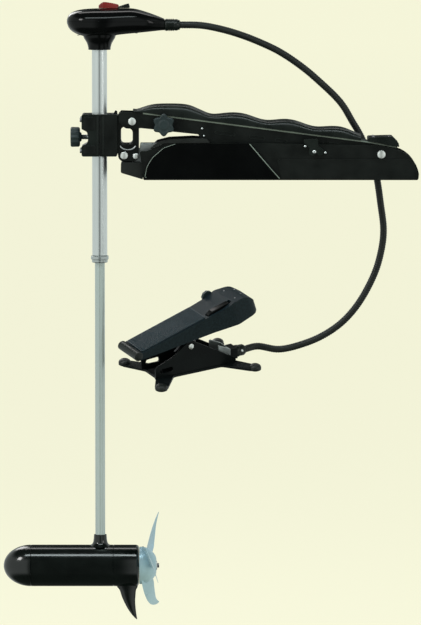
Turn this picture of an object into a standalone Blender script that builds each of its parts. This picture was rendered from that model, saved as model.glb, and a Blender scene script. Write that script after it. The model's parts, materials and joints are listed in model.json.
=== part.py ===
"""Bow-mount trolling motor: stowable mount, steered column with motor pod, and cable-linked foot pedal.

World frame, in metres: +X points aft along the deck, +Y to the far side, +Z up. The origin is the
centre of the mount's flat underside, where it is bolted to the deck.
"""

import math

import bmesh
import bpy
from mathutils import Matrix, Vector

MM = 0.001
GAP = 0.4  # clearance between pieces that touch, mm

# Driving dimensions, mm. Places are (x, z) in the side view.
COLUMN_X = -391.0
ARM_FRONT = (-319.6, 126.4)
ARM_REAR = (221.7, 55.8)
LINK_FRONT = (-311.7, 50.6)
LINK_REAR = (195.0, 36.0)
BRACKET_BOLT = (-337.2, 51.9)
KNOB_CENTRE = (-250.7, 119.9)
LATCH_PIVOT = (76.0, 62.0)
LATCH_PIN_R = 3.0
LATCH_OUT = 62.0

OUTER_TUBE_R = 16.35
OUTER_TUBE_BORE = 13.7
OUTER_TUBE_TOP = 322.0
OUTER_TUBE_FOOT = -168.0
SHAFT_R = 10.8
SHAFT_BORE = 8.6
SHAFT_TOP = 344.0
SHAFT_FOOT = -798.0

POD_Z = -850.2
POD_R = 45.4
POD_BORE = 41.6
NOSE_TIP_X = -603.0
NOSE_SEAM_X = -542.5
TAIL_SEAM_X = -362.0
TAIL_END_X = -306.7
PROP_R = 120.0
PROP_HUB_R = 41.0
PROP_BLADES = 3
PROP_FIRST_BLADE = math.radians(-20)
MOTOR_SHAFT_R = 5.0

WALL_IN = 48.0
WALL_OUT = 54.0
FLANGE_OUT = 58.0
PANEL_OUT = 62.0
ARM_IN = 31.0
ARM_OUT = 37.0
COVER_OUT = 42.0
CASTING_HALF = 30.0
LINK_HALF = 21.0
SLOT_HALF = 24.0

CLAMP_FRONT_X = -429.5
CLAMP_BACK_X = -352.0
CLAMP_Z = (50.2, 141.7)
CLAMP_HALF = 40.0
DEPTH_SCREW_Z = 91.0

HEAD_SEAM_Z = 343.0
HEAD_GLAND_X = (-251.6, -217.6)
HEAD_GLAND_Z = 335.0
POINTER_X = -361.0
PINION_PITCH_R = 9.0

CABLE_R = 7.5

PEDAL_CENTRE = (-194.6, 0.0, -412.5)
PEDAL_YAW = math.radians(29.5)
PEDAL_LEAN = math.radians(17.0)
PEDAL_PIVOT = (-16.0, 64.0)
TREAD_SLOPE = math.radians(17.2)
SPEED_WHEEL = (104.0, 42.0)

PARTS = None
CUTTERS = None


# ---------------------------------------------------------------- scene and helpers


def start_scene():
    """Empties the scene and makes the two collections."""
    global PARTS, CUTTERS
    for obj in list(bpy.data.objects):
        bpy.data.objects.remove(obj, do_unlink=True)
    PARTS = bpy.data.collections.new("trolling_motor")
    CUTTERS = bpy.data.collections.new("cutters")
    bpy.context.scene.collection.children.link(PARTS)
    bpy.context.scene.collection.children.link(CUTTERS)


def finish(name, colour, roughness, metallic=0.0):
    """A Principled material."""
    made = bpy.data.materials.new(name)
    made.use_nodes = True
    shader = made.node_tree.nodes["Principled BSDF"]
    shader.inputs["Base Color"].default_value = (*colour, 1.0)
    shader.inputs["Roughness"].default_value = roughness
    shader.inputs["Metallic"].default_value = metallic
    return made


def add_mesh(name, bm, material=None, smooth=True):
    """Links a finished bmesh, in metres and world space, as an object of the part or as a cutter."""
    bmesh.ops.recalc_face_normals(bm, faces=bm.faces)
    mesh = bpy.data.meshes.new(name)
    bm.to_mesh(mesh)
    bm.free()
    obj = bpy.data.objects.new(name, mesh)
    if material is None:
        CUTTERS.objects.link(obj)
        obj.hide_render = True
        obj.display_type = "WIRE"
    else:
        PARTS.objects.link(obj)
        mesh.materials.append(material)
    if smooth:
        mesh.shade_smooth()
        mesh.set_sharp_from_angle(angle=math.radians(35))
    return obj


def box(name, low, high, material=None):
    """A box between two corners, mm."""
    bm = bmesh.new()
    bmesh.ops.create_cube(bm, size=1.0)
    size = [(h - l) * MM for l, h in zip(low, high)]
    middle = [(h + l) / 2 * MM for l, h in zip(low, high)]
    bmesh.ops.scale(bm, vec=size, verts=bm.verts)
    bmesh.ops.translate(bm, vec=middle, verts=bm.verts)
    return add_mesh(name, bm, material, smooth=False)


def rod(name, start, end, radius, material=None, end_radius=None, sides=20):
    """A cylinder or cone between two points, mm."""
    a = Vector(start) * MM
    b = Vector(end) * MM
    bm = bmesh.new()
    bmesh.ops.create_cone(
        bm,
        cap_ends=True,
        segments=sides,
        radius1=radius * MM,
        radius2=(radius if end_radius is None else end_radius) * MM,
        depth=(b - a).length,
    )
    turn = Vector((0, 0, 1)).rotation_difference(b - a).to_matrix().to_4x4()
    bmesh.ops.transform(bm, matrix=Matrix.Translation((a + b) / 2) @ turn, verts=bm.verts)
    return add_mesh(name, bm, material)


def evaluated_copy(obj, name, material):
    """Replaces an object by the mesh that its curve or modifiers make, in world space."""
    bpy.context.view_layer.update()
    graph = bpy.context.evaluated_depsgraph_get()
    mesh = bpy.data.meshes.new_from_object(obj.evaluated_get(graph))
    bm = bmesh.new()
    bm.from_mesh(mesh)
    bmesh.ops.transform(bm, matrix=obj.matrix_world, verts=bm.verts)
    bmesh.ops.remove_doubles(bm, verts=bm.verts, dist=1e-6)
    bpy.data.objects.remove(obj, do_unlink=True)
    bpy.data.meshes.remove(mesh)
    return add_mesh(name, bm, material)


def turned(name, profile, origin, axis, material=None, steps=24):
    """A turned shape. The profile is (radius, height) from the top down its outer side; the height
    runs along the axis from the origin."""
    bm = bmesh.new()
    points = [bm.verts.new((r * MM, 0, h * MM)) for r, h in profile]
    for a, b in zip(points, points[1:]):
        bm.edges.new((a, b))
    mesh = bpy.data.meshes.new(name)
    bm.to_mesh(mesh)
    bm.free()
    obj = bpy.data.objects.new(name + "_profile", mesh)
    PARTS.objects.link(obj)
    screw = obj.modifiers.new("Screw", "SCREW")
    screw.steps = steps
    screw.render_steps = steps
    screw.use_merge_vertices = True
    screw.merge_threshold = 1e-5
    turn = Vector((0, 0, 1)).rotation_difference(Vector(axis)).to_matrix().to_4x4()
    obj.matrix_world = Matrix.Translation(Vector(origin) * MM) @ turn
    return evaluated_copy(obj, name, material)


def sleeve(name, start, end, outer, bore, material, axis=(0, 0, 1)):
    """A plain tube from one height to another along an axis through the origin point."""
    length = (Vector(end) - Vector(start)).length
    profile = [(bore, length), (outer, length), (outer, 0), (bore, 0), (bore, length)]
    return turned(name, profile, start, axis, material)


def rounded(corners, steps=3):
    """An outline whose corners (x, z, radius) are turned into arcs."""
    outline = []
    count = len(corners)
    for i, (x, z, radius) in enumerate(corners):
        here = Vector((x, z))
        if radius <= 0:
            outline.append(here)
            continue
        before = (Vector(corners[i - 1][:2]) - here)
        after = (Vector(corners[(i + 1) % count][:2]) - here)
        half = before.angle(after) / 2
        reach = min(radius / math.tan(half), 0.49 * before.length, 0.49 * after.length)
        radius = reach * math.tan(half)
        bisector = (before.normalized() + after.normalized()).normalized()
        centre = here + bisector * (radius / math.sin(half))
        first = here + before.normalized() * reach - centre
        sweep = first.angle_signed(here + after.normalized() * reach - centre)
        for step in range(steps + 1):
            angle = -sweep * step / steps
            turn = Matrix.Rotation(angle, 2)
            outline.append(centre + turn @ first)
    return outline


def arc(centre, radius, start, end, steps=10):
    """Points (x, z, 0) on an arc, angles in degrees from +X towards +Z."""
    x, z = centre
    points = []
    for step in range(steps + 1):
        angle = math.radians(start + (end - start) * step / steps)
        points.append((x + radius * math.cos(angle), z + radius * math.sin(angle), 0))
    return points


def ring_points(centre, radius, sides=16):
    """A circle as an outline, for a bore."""
    x, z = centre
    turns = [2 * math.pi * i / sides for i in range(sides)]
    return [(x + radius * math.cos(a), z + radius * math.sin(a)) for a in turns]


def plate(name, outline, y_low, y_high, material=None, holes=()):
    """A flat outline in the side view, extruded between two y planes, mm."""
    curve = bpy.data.curves.new(name, "CURVE")
    curve.dimensions = "2D"
    curve.fill_mode = "BOTH"
    curve.extrude = (y_high - y_low) / 2 * MM
    for loop in (outline, *holes):
        spline = curve.splines.new("POLY")
        spline.points.add(len(loop) - 1)
        for point, (x, z) in zip(spline.points, loop):
            point.co = (x * MM, z * MM, 0, 1)
        spline.use_cyclic_u = True
    obj = bpy.data.objects.new(name + "_outline", curve)
    PARTS.objects.link(obj)
    middle = (y_low + y_high) / 2 * MM
    obj.matrix_world = Matrix.Translation((0, middle, 0)) @ Matrix.Rotation(math.pi / 2, 4, "X")
    return evaluated_copy(obj, name, material)


def boolean(obj, other, operation):
    """Applies a Boolean to the object's mesh and leaves the other object as it is."""
    modifier = obj.modifiers.new(operation, "BOOLEAN")
    modifier.operation = operation
    modifier.solver = "EXACT"
    modifier.object = other
    bpy.context.view_layer.update()
    graph = bpy.context.evaluated_depsgraph_get()
    mesh = bpy.data.meshes.new_from_object(obj.evaluated_get(graph))
    obj.modifiers.clear()
    old = obj.data
    obj.data = mesh
    mesh.name = old.name
    bpy.data.meshes.remove(old)
    return obj


def cut(obj, *cutters):
    """Takes each cutter away from the object."""
    for cutter in cutters:
        boolean(obj, cutter, "DIFFERENCE")
    return obj


def join(obj, *others):
    """Adds other solids to the object; they stay behind as hidden helpers."""
    for other in others:
        boolean(obj, other, "UNION")
    return obj


def soften(obj, width, angle=40):
    """Rounds the sharp edges with one Bevel segment."""
    bevel = obj.modifiers.new("Bevel", "BEVEL")
    bevel.width = width * MM
    bevel.segments = 1
    bevel.limit_method = "ANGLE"
    bevel.angle_limit = math.radians(angle)
    return obj


def loft(name, rings, material=None):
    """A closed body through rings of points, mm, each ring with the same count."""
    bm = bmesh.new()
    made = [[bm.verts.new(Vector(p) * MM) for p in ring] for ring in rings]
    for low, high in zip(made, made[1:]):
        for i in range(len(low)):
            j = (i + 1) % len(low)
            bm.faces.new((low[i], low[j], high[j], high[i]))
    bm.faces.new(list(reversed(made[0])))
    bm.faces.new(made[-1])
    return add_mesh(name, bm, material)


def move_all(objects, matrix):
    """Moves meshes that were built in a piece's own frame to the world."""
    for obj in objects:
        obj.data.transform(matrix)


def body(name, place, objects):
    """An empty on the joint's axis that carries the objects of one moving body."""
    carrier = bpy.data.objects.new(name, None)
    PARTS.objects.link(carrier)
    carrier.empty_display_size = 0.03
    carrier.location = Vector(place) * MM
    bpy.context.view_layer.update()
    for obj in objects:
        obj.parent = carrier
        obj.matrix_parent_inverse = carrier.matrix_world.inverted()
    return carrier


def smooth_route(points, spacing):
    """Evenly spaced points on a Catmull-Rom curve through the route's own points."""
    ends = [points[0] * 2 - points[1], *points, points[-1] * 2 - points[-2]]
    fine = []
    for p0, p1, p2, p3 in zip(ends, ends[1:], ends[2:], ends[3:]):
        for step in range(24):
            t = step / 24
            fine.append(
                0.5
                * (
                    2 * p1
                    + (p2 - p0) * t
                    + (2 * p0 - 5 * p1 + 4 * p2 - p3) * t**2
                    + (3 * p1 - p0 - 3 * p2 + p3) * t**3
                )
            )
    fine.append(points[-1])
    total = sum((b - a).length for a, b in zip(fine, fine[1:]))
    count = max(2, round(total / spacing))
    result = [fine[0]]
    walked = 0.0
    for a, b in zip(fine, fine[1:]):
        step = (b - a).length
        while len(result) < count and walked + step >= total * len(result) / count:
            share = (total * len(result) / count - walked) / step
            result.append(a.lerp(b, share))
        walked += step
    result.append(fine[-1])
    return result


def tube(name, points, radius, material):
    """A round cable along the points, mm, with filled ends."""
    curve = bpy.data.curves.new(name, "CURVE")
    curve.dimensions = "3D"
    curve.bevel_depth = radius * MM
    curve.bevel_resolution = 2
    curve.use_fill_caps = True
    spline = curve.splines.new("POLY")
    spline.points.add(len(points) - 1)
    for point, place in zip(spline.points, points):
        point.co = (*(Vector(place) * MM), 1)
    curve.materials.append(material)
    obj = bpy.data.objects.new(name, curve)
    PARTS.objects.link(obj)
    return obj


# ---------------------------------------------------------------- materials

start_scene()
SATIN_BLACK = finish("satin_black_casting", (0.03, 0.032, 0.035), 0.45)
GLOSS_BLACK = finish("gloss_black_plastic", (0.012, 0.012, 0.014), 0.12)
BLACK_RUBBER = finish("black_rubber", (0.05, 0.052, 0.048), 0.8)
STAINLESS = finish("polished_stainless", (0.75, 0.77, 0.78), 0.18, 1.0)
SHAFT_GREY = finish("grey_composite_shaft", (0.55, 0.58, 0.58), 0.35)
ALUMINIUM = finish("bare_aluminium", (0.68, 0.69, 0.7), 0.35, 1.0)
PROP_GREY = finish("silver_grey_plastic", (0.55, 0.6, 0.6), 0.4)
KNOB_GREY = finish("blue_grey_plastic", (0.11, 0.14, 0.16), 0.5)
SIGNAL_RED = finish("red_plastic", (0.55, 0.03, 0.03), 0.35)
STEEL = finish("dark_steel", (0.3, 0.3, 0.31), 0.4, 1.0)
MAGNET_GREY = finish("ferrite", (0.12, 0.12, 0.13), 0.6)
COPPER = finish("copper_winding", (0.6, 0.25, 0.12), 0.4, 1.0)
NYLON = finish("white_nylon", (0.75, 0.74, 0.7), 0.5)
PAD_GREY = finish("tread_rubber", (0.06, 0.07, 0.075), 0.75)


# ---------------------------------------------------------------- mount base


def make_base():
    """The channel that is bolted to the deck: floor, two side walls and a thick lower flange."""
    nose = arc((240.0, 4.0), 64.0, 75, 8, 7)
    wall = rounded(
        [(-295, 0, 3), (-303, 63, 4), (-288, 63, 6), (-250, 79.5, 8), (-63, 80.5, 0), (222, 75, 10)]
        + nose
        + [(302, 0, 4)]
    )
    base = plate("base_housing", wall, -WALL_OUT, WALL_OUT, SATIN_BLACK)
    cut(base, box("base_channel", (-320, -WALL_IN, 5), (320, WALL_IN, 120)))
    flange = rounded([(6, 0.5, 0), (-4, 45, 3), (286, 45, 12), (299, 22, 6), (300, 0.5, 0)])
    for side in (-1, 1):
        y = sorted((side * (WALL_OUT - 2), side * FLANGE_OUT))
        join(base, plate("base_flange", flange, *y))
    for side in (-1, 1):
        y = sorted((side * (LINK_HALF + 2.2), side * (ARM_IN - 2)))
        x, z = LINK_REAR
        ear = [(x + 14, 3)] + [p[:2] for p in arc(LINK_REAR, 10.5, 0, 180)] + [(x - 14, 3)]
        join(base, plate("link_ear", ear, *y, holes=[ring_points(LINK_REAR, 5.0 + GAP)]))
    bore_x, bore_z = ARM_REAR
    cut(base, rod("arm_rear_bore", (bore_x, -70, bore_z), (bore_x, 70, bore_z), 6.0 + GAP))
    x, z = LATCH_PIVOT
    join(base, rod("latch_pin", (x, -WALL_OUT + 1, z), (x, -LATCH_OUT - 0.8, z), LATCH_PIN_R))
    for x in (-250, -60, 130, 262):
        for y in (-38, 38):
            cut(base, rod("deck_hole", (x, y, -1), (x, y, 6), 3.5, sides=16))
    return base


def make_side_panel(name, side):
    """The glossy cover on one side wall, with a curved front seam and a slanted rear edge."""
    outline = rounded(
        [(-294, 3, 2), (-289, 29, 30), (-277, 49, 30), (-253, 70, 20), (-229, 78.5, 12)]
        + [(-63, 80.5, 3), (3, 3, 3)]
    )
    y = sorted((side * (WALL_OUT + GAP), side * PANEL_OUT))
    return soften(plate(name, outline, *y, GLOSS_BLACK), 1.5)


def make_motor_rest(name, side):
    """The rubber rest on the top of one wall, where the stowed motor lies."""
    outline = rounded(
        [(-283.5, 65.8, 1), (-250, 80.2, 4), (-150, 81.0, 1), (-158, 90, 6), (-190, 91, 20)]
        + [(-240, 88.5, 20), (-266, 82, 12)]
    )
    y = sorted((side * 40.0, side * 57.0))
    return soften(plate(name, outline, *y, BLACK_RUBBER), 1.5)


def make_front_bumper():
    """The rubber block that the folded-down linkage sits on."""
    outline = rounded([(-344, 37.6, 3), (-344.5, 15, 4), (-296.8, 0.8, 0), (-296.8, 37.2, 0)])
    return soften(plate("front_bumper", outline, -42, 42, BLACK_RUBBER), 1.5)


def make_latch():
    """The stow latch: a two-lobed lever outside the near wall, with a catch that reaches in over it."""
    x, z = LATCH_PIVOT
    outline = rounded(
        [(x - 24, z + 27, 4), (x - 22, z + 19, 4), (x - 10, z + 8, 8), (x - 13, z - 6, 6), (x - 2, z - 9, 6)]
        + [(x + 4, z - 2, 3), (x + 10, z - 9, 6), (x + 20, z - 6, 6), (x + 19, z + 6, 8), (x + 8, z + 12, 8)]
        + [(x + 8, z + 28, 4)]
    )
    bore = ring_points(LATCH_PIVOT, LATCH_PIN_R + GAP, 12)
    lever = plate("latch_lever", outline, -LATCH_OUT, -WALL_OUT - 0.6, SATIN_BLACK, holes=[bore])
    catch = box("latch_catch", (x - 18, -WALL_OUT - 2, z + 23.2), (x + 4, -COVER_OUT - 1, z + 27))
    return join(lever, catch)


def rivet(name, place, y_in, y_out, radius, head_radius, material=STAINLESS):
    """A headed pin through one wall: shank from y_in, domed head just outside y_out."""
    x, z = place
    side = 1 if y_out > 0 else -1
    length = abs(y_out - y_in)
    profile = [
        (0, length + 3.2),
        (head_radius * 0.55, length + 3.0),
        (head_radius, length + 1.6),
        (head_radius, length + GAP),
        (radius, length + GAP),
        (radius, 0),
        (0, 0),
    ]
    return turned(name, profile, (x, y_in, z), (0, side, 0), material, steps=12)


# ---------------------------------------------------------------- swinging arms


def arm_line(x):
    """Height of the straight top edge of the upper arm."""
    return 146.0 + (x + 303.0) * (82.8 - 146.0) / (191.8 + 303.0)


def make_upper_arm():
    """The long arm: two cheeks and a top web between the column bracket and the rear pivot."""
    top = [(-349, 143, 2), (-344, 147.5, 3), (-303, 146, 4), (191.8, 82.8, 8), (257, 71, 6)]
    tail = [(259, 66, 3), (238, 44, 10), (214, 38, 10)]
    under = [(170, 45, 20), (60, 62, 20), (-63, 70, 20), (-165.7, 78, 3), (-175.7, 98.5, 3)]
    front = [(-235, 104.6, 20), (-271, 109, 20), (-300, 112, 10), (-313, 111, 8), (-335, 111, 14)]
    cheek = rounded(top + tail + under + front + [(-349, 127, 10)])
    bores = [ring_points(ARM_FRONT, 5.5 + GAP), ring_points(ARM_REAR, 6.0 + GAP)]
    stud = ring_points(KNOB_CENTRE, 4.0 + GAP)
    near = plate("upper_arm", cheek, -ARM_OUT, -ARM_IN, SATIN_BLACK, holes=[*bores, stud])
    far = plate("arm_far_cheek", cheek, ARM_IN, ARM_OUT, holes=bores)
    web = [(-295, arm_line(-295) - 0.5), (225, arm_line(225) + 0.5)]
    web += [(225, arm_line(225) - 3.5), (-295, arm_line(-295) - 4.5)]
    join(near, far, plate("arm_web", web, -ARM_IN - 1, ARM_IN + 1))
    return near


def cover_top(x):
    """Height of the cover's scalloped top: finger grips that fade towards the rear."""
    ramp_end = -281.0
    if x < ramp_end:
        return 148.5 + (x + 318.0) * (161.0 - 148.5) / (ramp_end + 318.0)
    humps = [
        (-281, 161.0), (-240, 163.5), (-196, 162.0), (-150, 139.5), (-96, 144.6), (-72, 141.5),
        (-30, 125.8), (8, 130.6), (33, 128.6), (78, 112.0), (120, 115.2), (144, 112.4), (178, 96.0),
    ]
    for (x0, z0), (x1, z1) in zip(humps, humps[1:]):
        if x <= x1:
            share = (x - x0) / (x1 - x0)
            return z0 + (z1 - z0) * (3 * share**2 - 2 * share**3)
    return humps[-1][1]


def make_arm_cover():
    """The moulded cover on the arm, with a rounded roof and finger grips along its top."""
    rings = []
    stations = [-318 + 496 * i / 46 for i in range(47)]
    for x in stations:
        low = arm_line(x) + 1.0
        high = max(cover_top(x), low + 3.0)
        ring = []
        shoulder = min(0.5 * (high - low), 9.0)
        ring.append((x, -COVER_OUT, low))
        ring.append((x, -COVER_OUT, high - shoulder))
        ring.append((x, -COVER_OUT + 5, high - shoulder * 0.35))
        ring.append((x, -COVER_OUT + 14, high))
        ring.append((x, COVER_OUT - 14, high))
        ring.append((x, COVER_OUT - 5, high - shoulder * 0.35))
        ring.append((x, COVER_OUT, high - shoulder))
        ring.append((x, COVER_OUT, low))
        rings.append(ring)
    cover = loft("arm_cover", rings, SATIN_BLACK)
    for x_low, x_high in ((-270, -180), (-150, -60), (-45, 50), (65, 150)):
        inner = rounded(
            [(x_low, arm_line(x_low) - 1, 0), (x_high, arm_line(x_high) - 1, 0)]
            + [(x_high, cover_top(x_high) - 6, 3), (x_low, cover_top(x_low) - 6, 3)]
        )
        cut(cover, plate("cover_hollow", inner, -COVER_OUT + 6, COVER_OUT - 6))
    return cover


def make_rear_cap():
    """The flat cap over the arm's rear end; its tail is two cheeks only, clear of the link's ears."""
    outline = rounded(
        [(193, 83.8, 1), (193, 92, 3), (246, 93.5, 6), (259.5, 80, 5), (261, 71.6, 1), (256, 71.8, 0)]
        + [(226.5, 77.2, 0), (226, 79.7, 0)]
    )
    cap = plate("arm_rear_cap", outline, -COVER_OUT - 2, COVER_OUT + 2, SATIN_BLACK)
    cut(cap, box("cap_notch", (245, -ARM_IN, 60), (270, ARM_IN, 100)))
    cut(cap, box("cap_under", (226, -ARM_IN, 60), (270, ARM_IN, 88)))
    return cap


def star_outline(centre, lobes, outer, inner, first=0.0, steps=36):
    """A wavy outline with round lobes, the first of them at an angle from the +x side."""
    x, z = centre
    points = []
    for step in range(steps):
        angle = 2 * math.pi * step / steps
        radius = (outer + inner) / 2 + (outer - inner) / 2 * math.cos(lobes * (angle - first))
        points.append((x + radius * math.cos(angle), z + radius * math.sin(angle)))
    return points


def make_star_knob():
    """The lobed tension knob on the arm's near cheek, and its stud."""
    lobes = star_outline(KNOB_CENTRE, 6, 24.5, 19.5, first=math.pi / 2)
    knob = plate("tension_knob", lobes, -66, -46, KNOB_GREY)
    x, z = KNOB_CENTRE
    neck = rod("knob_neck", (x, -47, z), (x, -37.6, z), 11.0)
    stud = rod("knob_stud", (x, -38.5, z), (x, -31.5, z), 4.0)
    join(knob, neck, stud)
    return knob


def make_lower_link():
    """The aluminium link under the arm: a channel open below, deep at its front end."""
    fx, fz = LINK_FRONT
    rx, rz = LINK_REAR
    outline = [p[:2] for p in arc(LINK_FRONT, 12.5, 120, 270, 8)]
    outline += [p[:2] for p in arc(LINK_REAR, 11.5, -90, 90, 8)]
    outline += [(-236, 61), (-262, 78), (-302, 78), (-304, 66)]
    bores = [ring_points(LINK_FRONT, 5.0), ring_points(LINK_REAR, 5.0 + GAP)]
    link = plate("lower_link", outline, -LINK_HALF, LINK_HALF, ALUMINIUM, holes=bores)
    inner = [(fx + 20, fz - 20), (rx - 20, rz - 20), (rx - 20, rz + 7), (-238, 57), (-264, 74)]
    inner += [(fx + 20, 74)]
    cut(link, plate("link_hollow", inner, -LINK_HALF + 4, LINK_HALF - 4))
    return link


# ---------------------------------------------------------------- bracket and column


def make_casting():
    """The hinge casting between the arms and the column clamp, with a window through it."""
    px, pz = BRACKET_BOLT
    outline = rounded(
        [(-351.6, 141, 3), (-335, 141.4, 6)]
        + arc(ARM_FRONT, 14.6, 90, 10, 6)
        + [(-305.6, 100, 0)]
        + arc((LINK_FRONT[0] - 4.6, LINK_FRONT[1]), 10.8, 0, -80, 6)
        + arc((px, pz), 13.0, -70, -165, 6)
        + [(-351.6, 60, 2)]
    )
    window = rounded([(-344.4, 77.4, 7), (-318.6, 77.4, 9), (-318.6, 108, 9), (-344.4, 120, 12)][::-1])
    bores = [window, ring_points(ARM_FRONT, 5.5 + GAP), ring_points(BRACKET_BOLT, 4.5 + GAP)]
    bores.append(ring_points(LINK_FRONT, 4.5 + GAP))
    casting = plate("hinge_casting", outline, -CASTING_HALF, CASTING_HALF, SATIN_BLACK, holes=bores)
    cut(casting, box("link_slot", (-329.5, -SLOT_HALF, 20), (-290, SLOT_HALF, 77.5)))
    cut(casting, box("strip_slot", (-316.0, -SLOT_HALF, 70), (-290, SLOT_HALF, 100)))
    return casting


def make_clamp():
    """The two halves of the column clamp: the body behind the tube and the door in front of it."""
    z0, z1 = CLAMP_Z
    bore = rod("clamp_bore", (COLUMN_X, 0, 0), (COLUMN_X, 0, 200), OUTER_TUBE_R + GAP, sides=40)
    body_outline = rounded(
        [(COLUMN_X + 0.6, z0, 1), (CLAMP_BACK_X, z0, 4), (CLAMP_BACK_X, z1, 3), (COLUMN_X + 0.6, z1, 1)]
    )
    back = plate("clamp_body", body_outline, -CLAMP_HALF, CLAMP_HALF, SATIN_BLACK)
    door_outline = rounded(
        [(CLAMP_FRONT_X, z0, 4), (COLUMN_X - 0.6, z0, 1), (COLUMN_X - 0.6, z1, 1), (CLAMP_FRONT_X, z1, 4)]
        + [(CLAMP_FRONT_X, 110, 2), (-418, 104, 3), (-414, 91, 6), (-418, 78, 3), (CLAMP_FRONT_X, 72, 2)]
    )
    door = plate("clamp_door", door_outline, -CLAMP_HALF, CLAMP_HALF, SATIN_BLACK)
    for half in (back, door):
        cut(half, bore)
    z = DEPTH_SCREW_Z
    cut(door, rod("depth_screw_bore", (-440, 0, z), (-395, 0, z), 5.0 + GAP))
    hook = rounded([(-367, 139, 0), (-352.4, 139, 0), (-352.4, 147, 2), (-357, 149.5, 2), (-359, 145, 3)])
    join(back, plate("cable_hook", hook, -8, 8))
    return back, door


def make_depth_knob():
    """The fluted depth knob, its screw and the pad that bears on the tube, as one turning piece."""
    z = DEPTH_SCREW_Z
    points = star_outline((0, 0), 12, 21.8, 20.3)
    ring_x = [(-433.6, 0.9), (-436, 1.0), (-451, 1.0), (-454.2, 0.86)]
    rings = [[(x, p[0] * s, z + p[1] * s) for p in points] for x, s in ring_x]
    knob = loft("depth_knob", rings, KNOB_GREY)
    join(knob, rod("depth_collar", (-434.5, 0, z), (-428.5, 0, z), 11.0, end_radius=8.0))
    screw = rod("depth_screw", (-437, 0, z), (-408.6, 0, z), 5.0)
    join(knob, screw)
    return knob


def make_column():
    """Outer tube, the two bushings inside it and the collar at its foot."""
    x = COLUMN_X
    tube_part = sleeve(
        "outer_tube", (x, 0, OUTER_TUBE_FOOT), (x, 0, OUTER_TUBE_TOP), OUTER_TUBE_R, OUTER_TUBE_BORE, STAINLESS
    )
    inside = SHAFT_R + GAP
    fit = OUTER_TUBE_BORE - GAP
    foot = OUTER_TUBE_FOOT - GAP
    collar = turned(
        "tube_collar",
        [(inside, foot + 22), (fit, foot + 22), (fit, foot), (18.4, foot), (19.0, foot - 2)]
        + [(19.0, foot - 12), (17.4, foot - 15), (inside, foot - 15), (inside, foot + 22)],
        (x, 0, 0),
        (0, 0, 1),
        STEEL,
    )
    top = sleeve("upper_bushing", (x, 0, 292), (x, 0, 320), fit, inside, NYLON)
    return tube_part, collar, top


def head_ring(x, top, bottom, half, count=20):
    """One rounded cross-section of the head."""
    ring = []
    for i in range(count):
        angle = 2 * math.pi * i / count
        c = math.cos(angle)
        s = math.sin(angle)
        y = half * math.copysign(abs(c) ** 0.85, c)
        z = (top + bottom) / 2 + (top - bottom) / 2 * math.copysign(abs(s) ** 0.8, s)
        ring.append((x, y, z))
    return ring


HEAD_STATIONS = [
    (-461.5, 347.5, 338.5, 9), (-457, 357, 328, 24), (-447, 364, 319, 38), (-430, 368.5, 312, 49),
    (-405, 370.6, 308.5, 55), (-375, 371.0, 309.5, 56), (-345, 371.2, 314.0, 52),
    (-315, 370.2, 317.0, 44), (-285, 362.0, 320.0, 34), (-262, 353.5, 322.5, 22), (-250, 348.5, 323.5, 15),
]


def make_head():
    """The two glossy shells of the control head, hollow, split along the seam height."""
    shells = []
    outer = [head_ring(*s) for s in HEAD_STATIONS]
    inner = [
        head_ring(x + (3.5 if x < -440 else 0), t - 3.2, b + 3.2, h - 3.2)
        for x, t, b, h in HEAD_STATIONS[:-1]
    ]
    neck = turned(
        "head_neck",
        [(0, 330), (38, 330), (36.5, 318), (34.5, 310), (27.0, 296), (23.0, 284), (22.3, 281), (0, 281)],
        (COLUMN_X, 0, 0),
        (0, 0, 1),
    )
    for name, z_low, z_high in (("head_top_shell", HEAD_SEAM_Z, 400), ("head_lower_shell", 250, HEAD_SEAM_Z)):
        shell = loft(name, outer, GLOSS_BLACK)
        if name == "head_lower_shell":
            join(shell, neck)
        cut(shell, loft("head_hollow", inner))
        low = z_high - GAP / 2 if name == "head_lower_shell" else 250
        high = 400 if name == "head_lower_shell" else z_low + GAP / 2
        cut(shell, box("head_split", (-500, -90, low), (-200, 90, high)))
        shells.append(shell)
    top, bottom = shells
    bore = rod("neck_bore", (COLUMN_X, 0, 270), (COLUMN_X, 0, 323), OUTER_TUBE_R + GAP, sides=32)
    cut(bottom, bore)
    cut(top, rod("pointer_bore", (POINTER_X, 0, 350), (POINTER_X, 0, 380), 4.0 + GAP))
    gland_hole = rod("gland_hole", (-270, 0, HEAD_GLAND_Z), (-240, 0, HEAD_GLAND_Z), 8.6)
    cut(bottom, gland_hole)
    return top, bottom


def make_head_gland():
    """The ribbed nut where the control cable enters the head."""
    x0, x1 = HEAD_GLAND_X
    length = x1 - x0
    bore = CABLE_R + 0.6
    profile = [(bore, length), (10.6, length), (12.2, length - 3), (12.2, length - 9), (13.2, length - 10)]
    profile += [(13.2, length - 22), (12.2, length - 23), (11.5, GAP + 1.2), (bore, GAP + 1.2), (bore, length)]
    return turned("head_cable_gland", profile, (x0, 0, HEAD_GLAND_Z), (1, 0, 0), GLOSS_BLACK, steps=24)


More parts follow.
